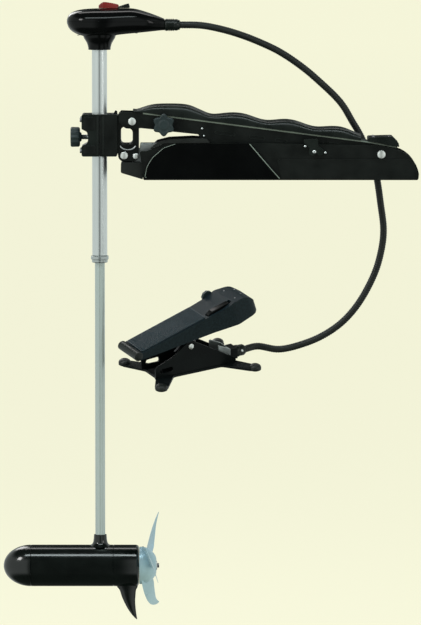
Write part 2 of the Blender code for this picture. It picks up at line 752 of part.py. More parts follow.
def make_head_gear():
    """Steering pinion on the shaft, the pointer with its pinion, and the rack that turns both."""
    r = PINION_PITCH_R - 0.5
    pinion = rod("steering_pinion", (COLUMN_X, 0, 344.4), (COLUMN_X, 0, 358), r, STEEL, sides=20)
    join(pinion, rod("pinion_spigot", (COLUMN_X, 0, 330), (COLUMN_X, 0, 346), SHAFT_BORE - GAP, sides=20))
    rack = box("steering_rack", (-419, PINION_PITCH_R + 0.4, 347), (-333, PINION_PITCH_R + 8.4, 357), STEEL)
    soften(rack, 0.8)
    gear = rod("pointer_gear", (POINTER_X, 0, 347), (POINTER_X, 0, 356), r, GLOSS_BLACK, sides=20)
    join(gear, rod("pointer_stem", (POINTER_X, 0, 355), (POINTER_X, 0, 373.4), 4.0, sides=16))
    join(gear, plate("pointer_tail", [(-363, 372.4), (-328, 372.4), (-330, 381), (-339, 378.5),
                                      (-346, 374.6), (-363, 374.6)], -8, 8))
    arrow = rounded(
        [(-394, 0, 3), (-382, 12.5, 4), (-356, 10, 3), (-349, 5, 2), (-349, -5, 2), (-356, -10, 3)]
        + [(-382, -12.5, 4)]
    )
    bm = bmesh.new()
    low = [bm.verts.new((x * MM, y * MM, 374.9 * MM)) for x, y in arrow]
    high = [bm.verts.new((x * MM, y * 0.8 * MM, (384.2 - (x + 392) * 0.2) * MM)) for x, y in arrow]
    bm.faces.new(low)
    bm.faces.new(high)
    for i in range(len(low)):
        j = (i + 1) % len(low)
        bm.faces.new((low[i], low[j], high[j], high[i]))
    pointer = add_mesh("direction_pointer", bm, SIGNAL_RED)
    return pinion, rack, gear, pointer


# ---------------------------------------------------------------- pod and propeller


def make_pod():
    """Motor housing with the shaft socket, nose cone, and tail housing with the skeg."""
    length = TAIL_SEAM_X - GAP - NOSE_SEAM_X
    housing = sleeve(
        "motor_housing",
        (NOSE_SEAM_X, 0, POD_Z),
        (NOSE_SEAM_X + length, 0, POD_Z),
        POD_R,
        POD_BORE,
        GLOSS_BLACK,
        axis=(1, 0, 0),
    )
    socket_top = -781.5
    socket = rod("shaft_socket", (COLUMN_X, 0, socket_top), (COLUMN_X, 0, POD_Z + 43), 14.1, end_radius=17.0)
    join(housing, socket)
    cut(housing, rod("socket_bore", (COLUMN_X, 0, -770), (COLUMN_X, 0, -800), SHAFT_R + GAP, sides=32))
    cut(housing, rod("wire_bore", (COLUMN_X, 0, -790), (COLUMN_X, 0, -830), 6.0))
    nose = NOSE_SEAM_X - GAP - NOSE_TIP_X
    dome = [
        (POD_R * math.sin(math.radians(a)), nose * (1 - math.cos(math.radians(a))))
        for a in range(0, 91, 9)
    ]
    inner = [
        ((POD_R - 4) * math.sin(math.radians(a)), nose - (nose - 5) * math.cos(math.radians(a)))
        for a in range(0, 91, 15)
    ]
    nose_cone = turned(
        "nose_cone",
        [(r, -h) for r, h in dome] + [(r, -h) for r, h in inner[::-1]],
        (NOSE_TIP_X, 0, POD_Z),
        (-1, 0, 0),
        GLOSS_BLACK,
    )
    tail = turned(
        "tail_housing",
        [(POD_BORE, 0), (POD_R, 0), (POD_R, -50), (POD_R - 2.5, -55.3), (12.0, -55.3), (12.0, -44)]
        + [(POD_BORE, -40), (POD_BORE, 0)],
        (TAIL_SEAM_X, 0, POD_Z),
        (-1, 0, 0),
        GLOSS_BLACK,
    )
    top = POD_Z - POD_R + 3
    skeg = rounded(
        [(-354, top, 0), (-349, -903, 20), (-340, -928, 40), (-327, -952, 40), (-311.6, -969.5, 1)]
        + [(-309.9, -969, 1), (-314.6, -934, 40), (-313, -905, 20), (-309, top, 0)]
    )
    join(tail, plate("skeg", skeg, -3.5, 3.5))
    return housing, nose_cone, tail


def blade_ring(radius, chord, pitch, skew, rake, thickness):
    """One section of a blade whose tip is upright: an eight-point lens wrapped round the hub's axis."""
    ring = []
    for i in range(8):
        angle = 2 * math.pi * i / 8
        along = 0.5 * chord * math.cos(angle)
        across = 0.5 * thickness * math.sin(angle)
        turn = skew - (along * math.cos(pitch) - across * math.sin(pitch)) / radius
        x = rake - along * math.sin(pitch) + across * math.cos(pitch)
        ring.append((x, -radius * math.sin(turn), radius * math.cos(turn)))
    return ring


def make_propeller():
    """Hub and swept blades in one moulding."""
    x0 = TAIL_END_X + 1.2
    profile = [(6.2, 0), (PROP_HUB_R, 0), (PROP_HUB_R, -3), (40, -12), (36.8, -20), (31, -28), (23, -34.5)]
    profile += [(14, -37.5), (12.5, -37.5), (12.5, -30), (6.2, -30), (6.2, 0)]
    hub = turned("propeller", profile, (x0, 0, POD_Z), (-1, 0, 0), PROP_GREY)
    sections = [
        (33, 54, 24, -50, -288, 6), (44, 62, 25, -46, -287, 5), (58, 60, 24, -38, -284.5, 4),
        (76, 48, 23, -27, -280, 3.2), (93, 33, 22, -16, -275, 2.6), (106, 21, 21, -8, -270, 2.0),
        (115, 12, 20, -3, -266, 1.5), (PROP_R, 4, 20, 0, -263.5, 1.0),
    ]
    for blade in range(PROP_BLADES):
        rings = [
            blade_ring(r, chord, math.radians(pitch), math.radians(skew), rake, thick)
            for r, chord, pitch, skew, rake, thick in sections
        ]
        solid = loft("blade", rings)
        angle = PROP_FIRST_BLADE + blade * 2 * math.pi / PROP_BLADES
        place = Matrix.Translation((0, 0, POD_Z * MM)) @ Matrix.Rotation(angle, 4, "X")
        solid.data.transform(place)
        join(hub, solid)
    return hub


def make_motor_inside():
    """What turns in the pod, and the magnets, brushes and bearings around it."""
    z = POD_Z
    bore = MOTOR_SHAFT_R + GAP
    shaft = rod("motor_shaft", (-545, 0, z), (-262, 0, z), MOTOR_SHAFT_R, STEEL)
    core = turned(
        "armature",
        [(MOTOR_SHAFT_R + GAP, 98), (12, 98), (12, 80), (20, 78), (26, 76), (26, 2), (20, 0)]
        + [(MOTOR_SHAFT_R + GAP, 0), (MOTOR_SHAFT_R + GAP, 98)],
        (-478, 0, z),
        (1, 0, 0),
        COPPER,
    )
    nut = turned(
        "propeller_nut",
        [(6.4, 9), (9, 9), (10.5, 7.5), (10.5, 0), (6.4, 0), (6.4, 9)],
        (-275, 0, z),
        (1, 0, 0),
        STAINLESS,
        steps=6,
    )
    seal = sleeve("shaft_seal", (-317.4, 0, z), (-307.6, 0, z), 11.6, MOTOR_SHAFT_R + GAP, BLACK_RUBBER, (1, 0, 0))
    carrier = turned(
        "bearing_plate",
        [(bore, 9), (12, 9), (12, 4), (41.2, 4), (41.2, 0), (bore, 0), (bore, 9)],
        (-541, 0, z),
        (1, 0, 0),
        ALUMINIUM,
    )
    card = sleeve("brush_card", (-377, 0, z), (-373, 0, z), 41.2, 14, NYLON, (1, 0, 0))
    magnets = []
    for name, start in (("magnet_upper", 30), ("magnet_lower", 210)):
        ring = [(r * math.cos(math.radians(a)), r * math.sin(math.radians(a)))
                for r, angles in ((41.2, range(start, start + 121, 10)), (28, range(start + 120, start - 1, -10)))
                for a in angles]
        rings = [[(x, p[0], z + p[1]) for p in ring] for x in (-484, -394)]
        magnets.append(loft(name, rings, MAGNET_GREY))
    for side in (-1, 1):
        y = sorted((side * 12.6, side * 26.0))
        join(card, box("brush_holder", (-392, y[0], z - 4), (-376, y[1], z + 4)))
    return shaft, core, nut, seal, carrier, card, magnets


# ---------------------------------------------------------------- foot pedal


def pedal_frame():
    """The pedal's own frame (along, across, up) in the world."""
    place = Matrix.Translation(Vector(PEDAL_CENTRE) * MM)
    return place @ Matrix.Rotation(PEDAL_LEAN, 4, "X") @ Matrix.Rotation(PEDAL_YAW, 4, "Z")


def flat_outline(name, outline, z_low, z_high, material=None):
    """An outline in plan, extruded between two heights, mm."""
    curve = bpy.data.curves.new(name, "CURVE")
    curve.dimensions = "2D"
    curve.fill_mode = "BOTH"
    curve.extrude = (z_high - z_low) / 2 * MM
    spline = curve.splines.new("POLY")
    spline.points.add(len(outline) - 1)
    for point, (x, y) in zip(spline.points, outline):
        point.co = (x * MM, y * MM, 0, 1)
    spline.use_cyclic_u = True
    obj = bpy.data.objects.new(name + "_outline", curve)
    PARTS.objects.link(obj)
    obj.location = (0, 0, (z_low + z_high) / 2 * MM)
    return evaluated_copy(obj, name, material)


def make_pedal_base():
    """Base plate with four splayed feet, the two side brackets and the cable's anchor block."""
    quarter = [(60, -36, 12), (106, -91, 9), (131, -78, 9), (98, -24, 16)]
    outline = quarter + [(x, -y, r) for x, y, r in quarter[::-1]]
    outline += [(-x, -y, r) for x, y, r in quarter]
    outline += [(-x, y, r) for x, y, r in quarter[::-1]]
    base = flat_outline("pedal_base", rounded(outline), 0, 5, SATIN_BLACK)
    for x, y in ((117, -83), (117, 83), (-117, -83), (-117, 83)):
        join(base, rod("pedal_foot", (x, y, 0.5), (x, y, 10), 13.5, end_radius=11.0, sides=20))
    side_plate = rounded(
        [(-104, 3, 0), (-104, 30, 8), (-62, 46, 12)] + arc(PEDAL_PIVOT, 13.0, 140, 40, 6)
        + [(52, 40, 14), (96, 14, 8), (98, 3, 0)]
    )
    slot = rounded([(-94, 14, 4), (-58, 14, 4), (-62, 26, 4), (-92, 24, 4)])
    pivot = ring_points(PEDAL_PIVOT, 4.0 + GAP)
    for side in (-1, 1):
        y = sorted((side * 29.8, side * 34.0))
        join(base, plate("pedal_bracket", side_plate, *y, holes=[slot, pivot]))
    join(base, box("gland_block", (92, -15, 3), (112, 15, 27)))
    cut(base, rod("pedal_cable_bore", (80, 0, 14), (120, 0, 14), CABLE_R + 0.6))
    return base


def make_pedal_tread():
    """The rocking tread: a hollow shell with a domed toe and two lugs down to the pivot."""
    side_view = rounded(
        [(-128, 33, 4), (-133, 41, 4), (-127, 50, 4), (-117, 46, 4), (96, 46, 12), (122, 51, 20)]
        + [(156, 47, 26), (179, 22, 20), (179, -5, 5), (122, -4, 10), (0, 13, 30), (-106, 29, 12)]
    )
    tread = plate("pedal_tread", side_view, -50, 50, SATIN_BLACK)
    near_plan = [(-137, -38.5, 10), (58, -38.5, 40), (118, -44, 40), (180, -33, 26)]
    plan = rounded(near_plan + [(x, -y, r) for x, y, r in near_plan[::-1]])
    boolean(tread, flat_outline("tread_plan", plan, -30, 80), "INTERSECT")
    near_inner = [(-123, -35, 6), (58, -35, 38), (118, -40.5, 38), (176, -29.5, 23)]
    inner_plan = rounded(near_inner + [(x, -y, r) for x, y, r in near_inner[::-1]])
    hollow = rounded(
        [(-123, 10, 0), (-123, 38, 4), (-113, 42.5, 3), (96, 42.5, 8), (120, 46.5, 10), (152, 42, 16)]
        + [(174.5, 19, 12), (174.5, -20, 0)]
    )
    cavity = plate("tread_hollow", hollow, -45, 45)
    cut(tread, boolean(cavity, flat_outline("tread_inner_plan", inner_plan, -40, 80), "INTERSECT"))
    lug = [(-15, 44)] + [p[:2] for p in arc((0, 0), 11, 180, 360, 8)] + [(15, 44)]
    for side in (-1, 1):
        y = sorted((side * 22.0, side * 28.6))
        join(tread, plate("tread_lug", lug, *y, holes=[ring_points((0, 0), 4.0 + GAP)]))
    x, z = SPEED_WHEEL
    cut(tread, rod("wheel_bore", (x, 30, z), (x, 50, z), 2.2 + GAP, sides=12))
    cut(tread, box("button_recess", (58, -34.6, 35), (122, -21.1, 60)))
    return tread


def make_tread_pieces():
    """Rubber mat, momentary button, speed wheel and the sector that pulls the cable."""
    mat = flat_outline(
        "tread_mat", rounded([(-113, -35, 5), (52, -35, 5), (52, 35, 5), (-113, 35, 5)]), 46.4, 49.4, PAD_GREY
    )
    button = plate(
        "momentary_button",
        rounded([(60, 39, 0), (60, 48, 4), (70, 52.5, 6), (112, 52.5, 8), (120, 48, 4), (120, 39, 0)]),
        -34.1,
        -21.6,
        GLOSS_BLACK,
    )
    x, z = SPEED_WHEEL
    wheel_points = star_outline(SPEED_WHEEL, 9, 13.5, 12.5)
    wheel = plate("speed_wheel", wheel_points, 45.0, 52.0, KNOB_GREY)
    join(wheel, rod("speed_wheel_axle", (x, 37.0, z), (x, 46.0, z), 2.2, sides=12))
    sector = [(0, 0)] + [p[:2] for p in arc((0, 0), 30, 205, 335, 10)]
    sector_part = plate("cable_sector", sector, -3, 3, STEEL)
    hub = rod("sector_hub", (0, -6, 0), (0, 6, 0), 9.0)
    join(sector_part, hub)
    cut(sector_part, rod("sector_bore", (0, -20, 0), (0, 20, 0), 4.0 + GAP))
    return mat, button, wheel, sector_part


def make_pedal_small():
    """Pivot pin, cable gland and the aluminium anchor plate."""
    px, pz = PEDAL_PIVOT
    pin = rivet("pedal_pivot_pin", (px, pz), 34.6, -34.4, 4.0, 6.5)
    profile = [(CABLE_R + 0.6, 24), (10.0, 24), (12.5, 20), (12.5, 8), (13.5, 7), (13.5, 0)]
    profile += [(CABLE_R + 0.6, 0), (CABLE_R + 0.6, 24)]
    gland = turned("pedal_cable_gland", profile, (112.5, 0, 14), (1, 0, 0), GLOSS_BLACK, steps=20)
    wedge = rounded([(58, 5.5, 0), (90, 5.5, 0), (90, 32, 2), (60, 46, 2)])
    anchor = plate("cable_anchor", wedge, -22, 22, ALUMINIUM)
    cut(anchor, box("anchor_inside", (50, -18, 0), (86, 18, 60)))
    cut(anchor, rod("anchor_bore", (80, 0, 14), (100, 0, 14), CABLE_R + 0.6))
    return pin, gland, anchor


# ---------------------------------------------------------------- control cable

CABLE_DROP = [
    (213.6, 67.0, 6.0),
    (224.0, 68.0, -60.0),
    (230.5, 68.0, -118.0),
    (224.0, 68.0, -170.0),
    (208.0, 67.0, -220.0),
    (177.0, 66.0, -277.0),
    (140.0, 66.0, -320.0),
    (95.0, 66.0, -351.0),
    (45.0, 66.0, -371.0),
    (0.0, 66.0, -380.0),
]
CABLE_CLIP = (196.0, 67.0, 55.0)
CABLE_RISE = [
    (196.0, 67.0, 55.0),
    (178.0, 67.0, 93.0),
    (162.0, 66.5, 120.0),
    (134.0, 65.0, 165.0),
    (84.0, 61.0, 213.6),
    (46.0, 56.0, 245.0),
    (2.0, 47.0, 274.5),
    (-42.0, 35.0, 296.0),
    (-85.0, 22.0, 313.0),
    (-128.6, 10.0, 326.0),
    (-172.0, 2.5, 334.0),
]


def make_cable():
    """The control cable in four lengths: pedal to clip, then three that follow the folding arms."""
    frame = pedal_frame()
    exit_point = frame @ (Vector((137.0, 0, 14)) * MM) / MM
    lead = frame @ (Vector((172.0, 0, 14)) * MM) / MM
    clip = Vector(CABLE_CLIP)
    drop = [Vector(p) for p in CABLE_DROP]
    down = (drop[0] - clip).normalized()
    lower = [clip + down * 0.2, clip + down * 4.0] + drop + [lead, exit_point]
    rubber = BLACK_RUBBER
    made = [tube("cable_lower", smooth_route(lower, 26.0), CABLE_R, rubber)]
    end = Vector((HEAD_GLAND_X[1] - 4.0, 0, HEAD_GLAND_Z))
    rise = smooth_route([Vector(p) for p in CABLE_RISE] + [end], 18.0)
    first = 7
    second = round(len(rise) * 0.5)
    for name, low, high in (
        ("cable_rear", 0, first),
        ("cable_middle", first, second),
        ("cable_front", second, len(rise) - 1),
    ):
        points = [p.copy() for p in rise[low : high + 1]]
        for place, way in ((low, 1), (high, -1)):
            before = rise[place - 1] if place > 0 else clip + down
            after = rise[place + 1] if 0 < place < len(rise) - 1 else rise[place]
            along = (after - before).normalized() * way
            ends = [rise[place] + along * 0.2, rise[place] + along * 3.0]
            points = ends + points[1:] if way == 1 else points[:-1] + ends[::-1]
        made.append(tube(name, points, CABLE_R, rubber))
    return made


def make_cable_clip():
    """The saddle clip that holds the cable against the far wall."""
    x, y, z = CABLE_CLIP
    lean = (Vector(CABLE_DROP[0]) - Vector(CABLE_CLIP)).normalized()
    ring = sleeve("cable_clip", Vector((x, y, z)) - lean * 6, Vector((x, y, z)) + lean * 6,
                  CABLE_R + 3.0, CABLE_R + 0.5, SATIN_BLACK, axis=lean)
    foot = box("clip_foot", (x - 9, FLANGE_OUT - 3.6, z - 6), (x + 9, y - CABLE_R - 0.6, z + 22))
    return join(ring, foot)


# ---------------------------------------------------------------- the assembly


def build():
    """Makes every piece and hangs the moving ones on empties at their joints."""
    make_base()
    make_side_panel("side_panel_near", -1)
    make_side_panel("side_panel_far", 1)
    make_motor_rest("motor_rest_near", -1)
    make_motor_rest("motor_rest_far", 1)
    make_front_bumper()
    rivet("rear_pivot_near", ARM_REAR, -ARM_IN + 0.6, -WALL_OUT - 0.2, 6.0, 9.0)
    rivet("rear_pivot_far", ARM_REAR, ARM_IN - 0.6, WALL_OUT + 0.2, 6.0, 9.0)
    x, z = LINK_REAR
    rod("link_rear_pin", (x, -28.6, z), (x, 28.6, z), 5.0, STAINLESS)
    lever = make_latch()
    make_cable_clip()

    arm = [make_upper_arm(), make_arm_cover(), make_rear_cap()]
    x, z = ARM_FRONT
    arm.append(rivet("arm_front_pin", ARM_FRONT, ARM_OUT + 0.6, -ARM_OUT - 0.1, 5.5, 8.5))
    knob = make_star_knob()
    link = make_lower_link()

    bracket = [make_casting(), *make_clamp()]
    bracket.append(rivet("link_front_pin_near", LINK_FRONT, -SLOT_HALF - 0.4, -CASTING_HALF - 0.1, 4.5, 6.5))
    bracket.append(rivet("link_front_pin_far", LINK_FRONT, SLOT_HALF + 0.4, CASTING_HALF + 0.1, 4.5, 6.5))
    bracket.append(rivet("casting_bolt", BRACKET_BOLT, CASTING_HALF, -CASTING_HALF - 0.1, 4.5, 8.5))
    depth_knob = make_depth_knob()

    column = [*make_column(), *make_head(), make_head_gland()]
    pinion, rack, gear, pointer = make_head_gear()
    shaft = sleeve(
        "inner_shaft", (COLUMN_X, 0, SHAFT_FOOT), (COLUMN_X, 0, SHAFT_TOP), SHAFT_R, SHAFT_BORE, SHAFT_GREY
    )
    steered = [shaft, pinion, *make_pod()]
    motor = make_motor_inside()
    spinning = [make_propeller(), *motor[:3]]
    steered += [*motor[3:6], *motor[6]]

    frame = pedal_frame()
    px, pz = PEDAL_PIVOT
    tilt = Matrix.Translation((px * MM, 0, pz * MM)) @ Matrix.Rotation(-TREAD_SLOPE, 4, "Y")
    pedal_base = make_pedal_base()
    small = make_pedal_small()
    move_all([pedal_base, *small], frame)
    tread = make_pedal_tread()
    mat, button, wheel, sector = make_tread_pieces()
    move_all([tread, mat, button, wheel, sector], frame @ tilt)
    pivot = frame @ (Vector((px, 0, pz)) * MM) / MM
    wheel_place = frame @ tilt @ (Vector((SPEED_WHEEL[0], 45, SPEED_WHEEL[1])) * MM) / MM
    button_place = frame @ tilt @ (Vector((90, -31, 45)) * MM) / MM

    _lower, rear, middle, front = make_cable()
    body("arm_body", (ARM_REAR[0], 0, ARM_REAR[1]), [*arm, middle])
    body("knob_body", (KNOB_CENTRE[0], -50, KNOB_CENTRE[1]), [knob])
    body("link_body", (LINK_REAR[0], 0, LINK_REAR[1]), [link])
    body("bracket_body", (ARM_FRONT[0], 0, ARM_FRONT[1]), bracket)
    body("depth_knob_body", (-440, 0, DEPTH_SCREW_Z), [depth_knob])
    body("column_body", (COLUMN_X, 0, 0), [*column, front])
    body("rack_body", (COLUMN_X, PINION_PITCH_R, 352), [rack])
    body("pointer_body", (POINTER_X, 0, 360), [gear, pointer])
    body("steer_body", (COLUMN_X, 0, 0), steered)
    body("propeller_body", (TAIL_END_X, 0, POD_Z), spinning)
    body("latch_body", (LATCH_PIVOT[0], -WALL_OUT, LATCH_PIVOT[1]), [lever])
    body("tread_body", pivot, [tread, mat, sector])
    body("speed_wheel_body", wheel_place, [wheel])
    body("button_body", button_place, [button])


build()
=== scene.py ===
"""Looks for the trolling motor: camera, cable, pieces, materials and studio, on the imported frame."""

import json
import math

import bmesh
import bpy
from mathutils import Matrix, Vector


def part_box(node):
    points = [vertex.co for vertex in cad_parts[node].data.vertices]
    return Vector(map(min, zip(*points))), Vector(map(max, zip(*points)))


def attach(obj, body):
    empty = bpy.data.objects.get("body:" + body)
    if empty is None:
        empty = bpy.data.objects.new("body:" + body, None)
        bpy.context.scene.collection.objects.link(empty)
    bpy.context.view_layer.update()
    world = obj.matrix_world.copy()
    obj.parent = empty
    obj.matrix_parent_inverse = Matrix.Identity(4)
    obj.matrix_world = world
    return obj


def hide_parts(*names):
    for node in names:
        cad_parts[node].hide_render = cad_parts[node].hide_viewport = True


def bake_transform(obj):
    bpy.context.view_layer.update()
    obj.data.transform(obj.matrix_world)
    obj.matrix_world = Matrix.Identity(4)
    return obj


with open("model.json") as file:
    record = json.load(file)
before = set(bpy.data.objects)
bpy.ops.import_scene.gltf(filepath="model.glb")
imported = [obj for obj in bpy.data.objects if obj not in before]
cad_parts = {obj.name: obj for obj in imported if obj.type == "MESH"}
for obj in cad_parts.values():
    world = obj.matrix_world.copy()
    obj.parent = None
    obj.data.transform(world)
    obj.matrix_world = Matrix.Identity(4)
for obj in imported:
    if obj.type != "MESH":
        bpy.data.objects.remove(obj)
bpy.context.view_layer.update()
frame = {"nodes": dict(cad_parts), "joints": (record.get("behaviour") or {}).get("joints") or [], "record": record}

MM = 0.001
NODES = frame["nodes"]
BODY_OF = {node: body for body, nodes in frame["record"]["behaviour"]["bodies"].items() for node in nodes}
JOINT = {joint["name"]: joint for joint in frame["joints"]}


# ------------------------------ places, read from the frame, mm


def low(node):
    """Lowest corner of a CAD node, mm."""
    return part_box(node)[0] / MM


def high(node):
    """Highest corner of a CAD node, mm."""
    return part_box(node)[1] / MM


def middle(node):
    """Centre of a CAD node's box, mm."""
    return (low(node) + high(node)) / 2


def pivot(joint):
    """A point on a hinge's axis, mm."""
    return Vector(JOINT[joint]["pos_m"]) / MM


COLUMN_X = middle("inner_shaft").x
POD_Z = middle("nose_cone").z
POD_R = (high("nose_cone").z - low("nose_cone").z) / 2
WALL_Y = low("side_panel_near").y  # outer face of the near side panel


# ------------------------------ camera

VIEW_CENTRE = Vector((-149.3, 0.0, -293.2))  # what the middle of the picture shows, mm
VIEW_HEIGHT = 1366.0  # how much of the object's plane the picture covers, mm
VIEW_DISTANCE = 12000.0
VIEW_ELEVATION = math.radians(5.0)


def make_camera():
    """A long lens from the near side, a little above the horizon."""
    data = bpy.data.cameras.new("camera")
    data.sensor_width = 36.0
    data.lens = data.sensor_width * VIEW_DISTANCE / VIEW_HEIGHT
    data.clip_end = 100.0
    camera = bpy.data.objects.new("camera", data)
    back = Vector((0.0, -math.cos(VIEW_ELEVATION), math.sin(VIEW_ELEVATION)))
    camera.location = (VIEW_CENTRE + back * VIEW_DISTANCE) * MM
    camera.rotation_euler = (math.pi / 2 - VIEW_ELEVATION, 0.0, 0.0)
    bpy.context.scene.collection.objects.link(camera)
    bpy.context.scene.camera = camera
    bpy.context.scene.view_settings.view_transform = "Standard"


# ------------------------------ mesh helpers, mm


def piece(name, bm, material, body=None, replaces=(), smooth=35):
    """Turns a bmesh in mm into a visible piece that rides on a body and may stand for CAD nodes."""
    bmesh.ops.transform(bm, matrix=Matrix.Scale(MM, 4), verts=bm.verts)
    bmesh.ops.recalc_face_normals(bm, faces=bm.faces)
    mesh = bpy.data.meshes.new(name)
    bm.to_mesh(mesh)
    bm.free()
    mesh.polygons.foreach_set("use_smooth", [True] * len(mesh.polygons))
    mesh.set_sharp_from_angle(angle=math.radians(smooth))
    mesh.materials.append(material)
    obj = bpy.data.objects.new(name, mesh)
    bpy.context.scene.collection.objects.link(obj)
    if body:
        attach(obj, body)
    for node in replaces:
        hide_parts(node)
    return obj


def lofted(rings):
    """A closed body through rings of points, each ring with the same count."""
    bm = bmesh.new()
    made = [[bm.verts.new(point) for point in ring] for ring in rings]
    for first, second in zip(made, made[1:]):
        for i in range(len(first)):
            j = (i + 1) % len(first)
            bm.faces.new((first[i], first[j], second[j], second[i]))
    bm.faces.new(made[0][::-1])
    bm.faces.new(made[-1])
    return bm


def merged(*parts):
    """Several bmeshes as one."""
    whole = parts[0]
    for part in parts[1:]:
        mesh = bpy.data.meshes.new("part")
        part.to_mesh(mesh)
        part.free()
        whole.from_mesh(mesh)
        bpy.data.meshes.remove(mesh)
    return whole


def moved(bm, matrix):
    """The bmesh placed by a matrix."""
    bmesh.ops.transform(bm, matrix=matrix, verts=bm.verts)
    return bm


def stood(bm, place, axis):
    """The bmesh with its z side turned along an axis and its origin put at a place."""
    turn = Vector((0, 0, 1)).rotation_difference(Vector(axis)).to_matrix().to_4x4()
    return moved(bm, Matrix.Translation(Vector(place)) @ turn)


def around(count):
    """Evenly spaced angles round a circle."""
    return [2 * math.pi * i / count for i in range(count)]


def turned(profile, place, axis, steps=72):
    """A turned body. The profile is a list of (radius, height) along the axis from the place."""
    bm = bmesh.new()
    points = [bm.verts.new((radius, 0, height)) for radius, height in profile]
    edges = [bm.edges.new(pair) for pair in zip(points, points[1:])]
    bmesh.ops.spin(
        bm, geom=points + edges, cent=(0, 0, 0), axis=(0, 0, 1), angle=2 * math.pi, steps=steps,
        use_merge=True,
    )
    bmesh.ops.remove_doubles(bm, verts=bm.verts, dist=0.001)
    return stood(bm, place, axis)


def sleeve(outer, bore, length, place, axis, edge=0.6, steps=72):
    """A tube with broken edges."""
    profile = [(bore, 0), (outer - edge, 0), (outer, edge), (outer, length - edge), (outer - edge, length)]
    return turned(profile + [(bore, length), (bore, 0)], place, axis, steps)


def dome(radius, height, place, axis):
    """A domed rivet or screw head with a short rim."""
    rim = 0.25 * height
    profile = [(0, 0), (radius, 0), (radius, rim)]
    for step in range(1, 7):
        angle = math.pi / 2 * step / 6
        profile.append((radius * math.cos(angle), rim + (height - rim) * math.sin(angle)))
    return turned(profile, place, axis, 32)


def socket_screw(radius, height, place, axis):
    """A screw head with a hexagonal socket."""
    outer = [(radius, 0), (radius, 0.8 * height), (0.9 * radius, height)]
    rings = [[(r * math.cos(angle), r * math.sin(angle), h) for angle in around(36)] for r, h in outer]
    for depth in (height, 0.4 * height):
        ring = []
        for i, angle in enumerate(around(36)):
            r = 0.5 * radius / math.cos(math.radians((10 * i) % 60 - 30))
            ring.append((r * math.cos(angle), r * math.sin(angle), depth))
        rings.append(ring)
    return stood(lofted(rings), place, axis)


CORNER_STEPS = 6


def rounded(corners):
    """An outline whose corners (x, z, radius) are turned into arcs."""
    outline = []
    count = len(corners)
    for i, (x, z, radius) in enumerate(corners):
        here = Vector((x, z))
        if radius <= 0:
            outline.append(here)
            continue
        before = Vector(corners[i - 1][:2]) - here
        after = Vector(corners[(i + 1) % count][:2]) - here
        half = before.angle(after) / 2
        reach = min(radius / math.tan(half), 0.49 * before.length, 0.49 * after.length)
        radius = reach * math.tan(half)
        bisector = (before.normalized() + after.normalized()).normalized()
        centre = here + bisector * (radius / math.sin(half))
        first = here + before.normalized() * reach - centre
        sweep = first.angle_signed(here + after.normalized() * reach - centre)
        for step in range(CORNER_STEPS + 1):
            outline.append(centre + Matrix.Rotation(-sweep * step / CORNER_STEPS, 2) @ first)
    return outline


def plate(outline, y_low, y_high, edge=0.8):
    """A side-view outline between two y planes, with rounded edges."""
    curve = bpy.data.curves.new("outline", "CURVE")
    curve.dimensions = "2D"
    curve.fill_mode = "BOTH"
    curve.bevel_depth = edge
    curve.bevel_resolution = 2
    curve.offset = -edge
    curve.extrude = (y_high - y_low) / 2 - edge
    spline = curve.splines.new("POLY")
    spline.points.add(len(outline) - 1)
    for point, (x, z) in zip(spline.points, outline):
        point.co = (x, z, 0, 1)
    spline.use_cyclic_u = True
    obj = bpy.data.objects.new("outline", curve)
    bpy.context.scene.collection.objects.link(obj)
    mesh = bpy.data.meshes.new_from_object(obj.evaluated_get(bpy.context.evaluated_depsgraph_get()))
    bm = bmesh.new()
    bm.from_mesh(mesh)
    bmesh.ops.remove_doubles(bm, verts=bm.verts, dist=0.0005)
    bpy.data.objects.remove(obj)
    bpy.data.curves.remove(curve)
    bpy.data.meshes.remove(mesh)
    stand = Matrix.Rotation(math.pi / 2, 4, "X")
    return moved(bm, Matrix.Translation((0, (y_low + y_high) / 2, 0)) @ stand)


def laid(bm):
    """A plate made in the side view, turned to lie flat: x stays, z becomes y, and y becomes -z."""
    return moved(bm, Matrix.Rotation(-math.pi / 2, 4, "X"))


def star_outline(centre, lobes, outer, inner, steps=96, first=0.0):
    """A wavy outline with round lobes, the first of them at an angle from the x side."""
    points = []
    for angle in around(steps):
        radius = (outer + inner) / 2 + (outer - inner) / 2 * math.cos(lobes * (angle - first))
        points.append((centre[0] + radius * math.cos(angle), centre[1] + radius * math.sin(angle)))
    return points


def block(corner, far_corner, edge=1.0):
    """A box with rounded edges between two corners."""
    bm = bmesh.new()
    size = Vector(far_corner) - Vector(corner)
    place = Matrix.Translation((Vector(corner) + Vector(far_corner)) / 2) @ Matrix.Diagonal((*size, 1))
    bmesh.ops.create_cube(bm, size=1.0, matrix=place)
    bmesh.ops.bevel(bm, geom=bm.edges[:], offset=edge, segments=3, profile=0.5, affect="EDGES")
    return bm


def between(p0, p1, p2, p3, t):
    """A share of the way from p1 to p2 on the Catmull-Rom curve through numbers or vectors."""
    bend = (2 * p0 - 5 * p1 + 4 * p2 - p3) * t**2
    return 0.5 * (2 * p1 + (p2 - p0) * t + bend + (3 * p1 - p0 - 3 * p2 + p3) * t**3)


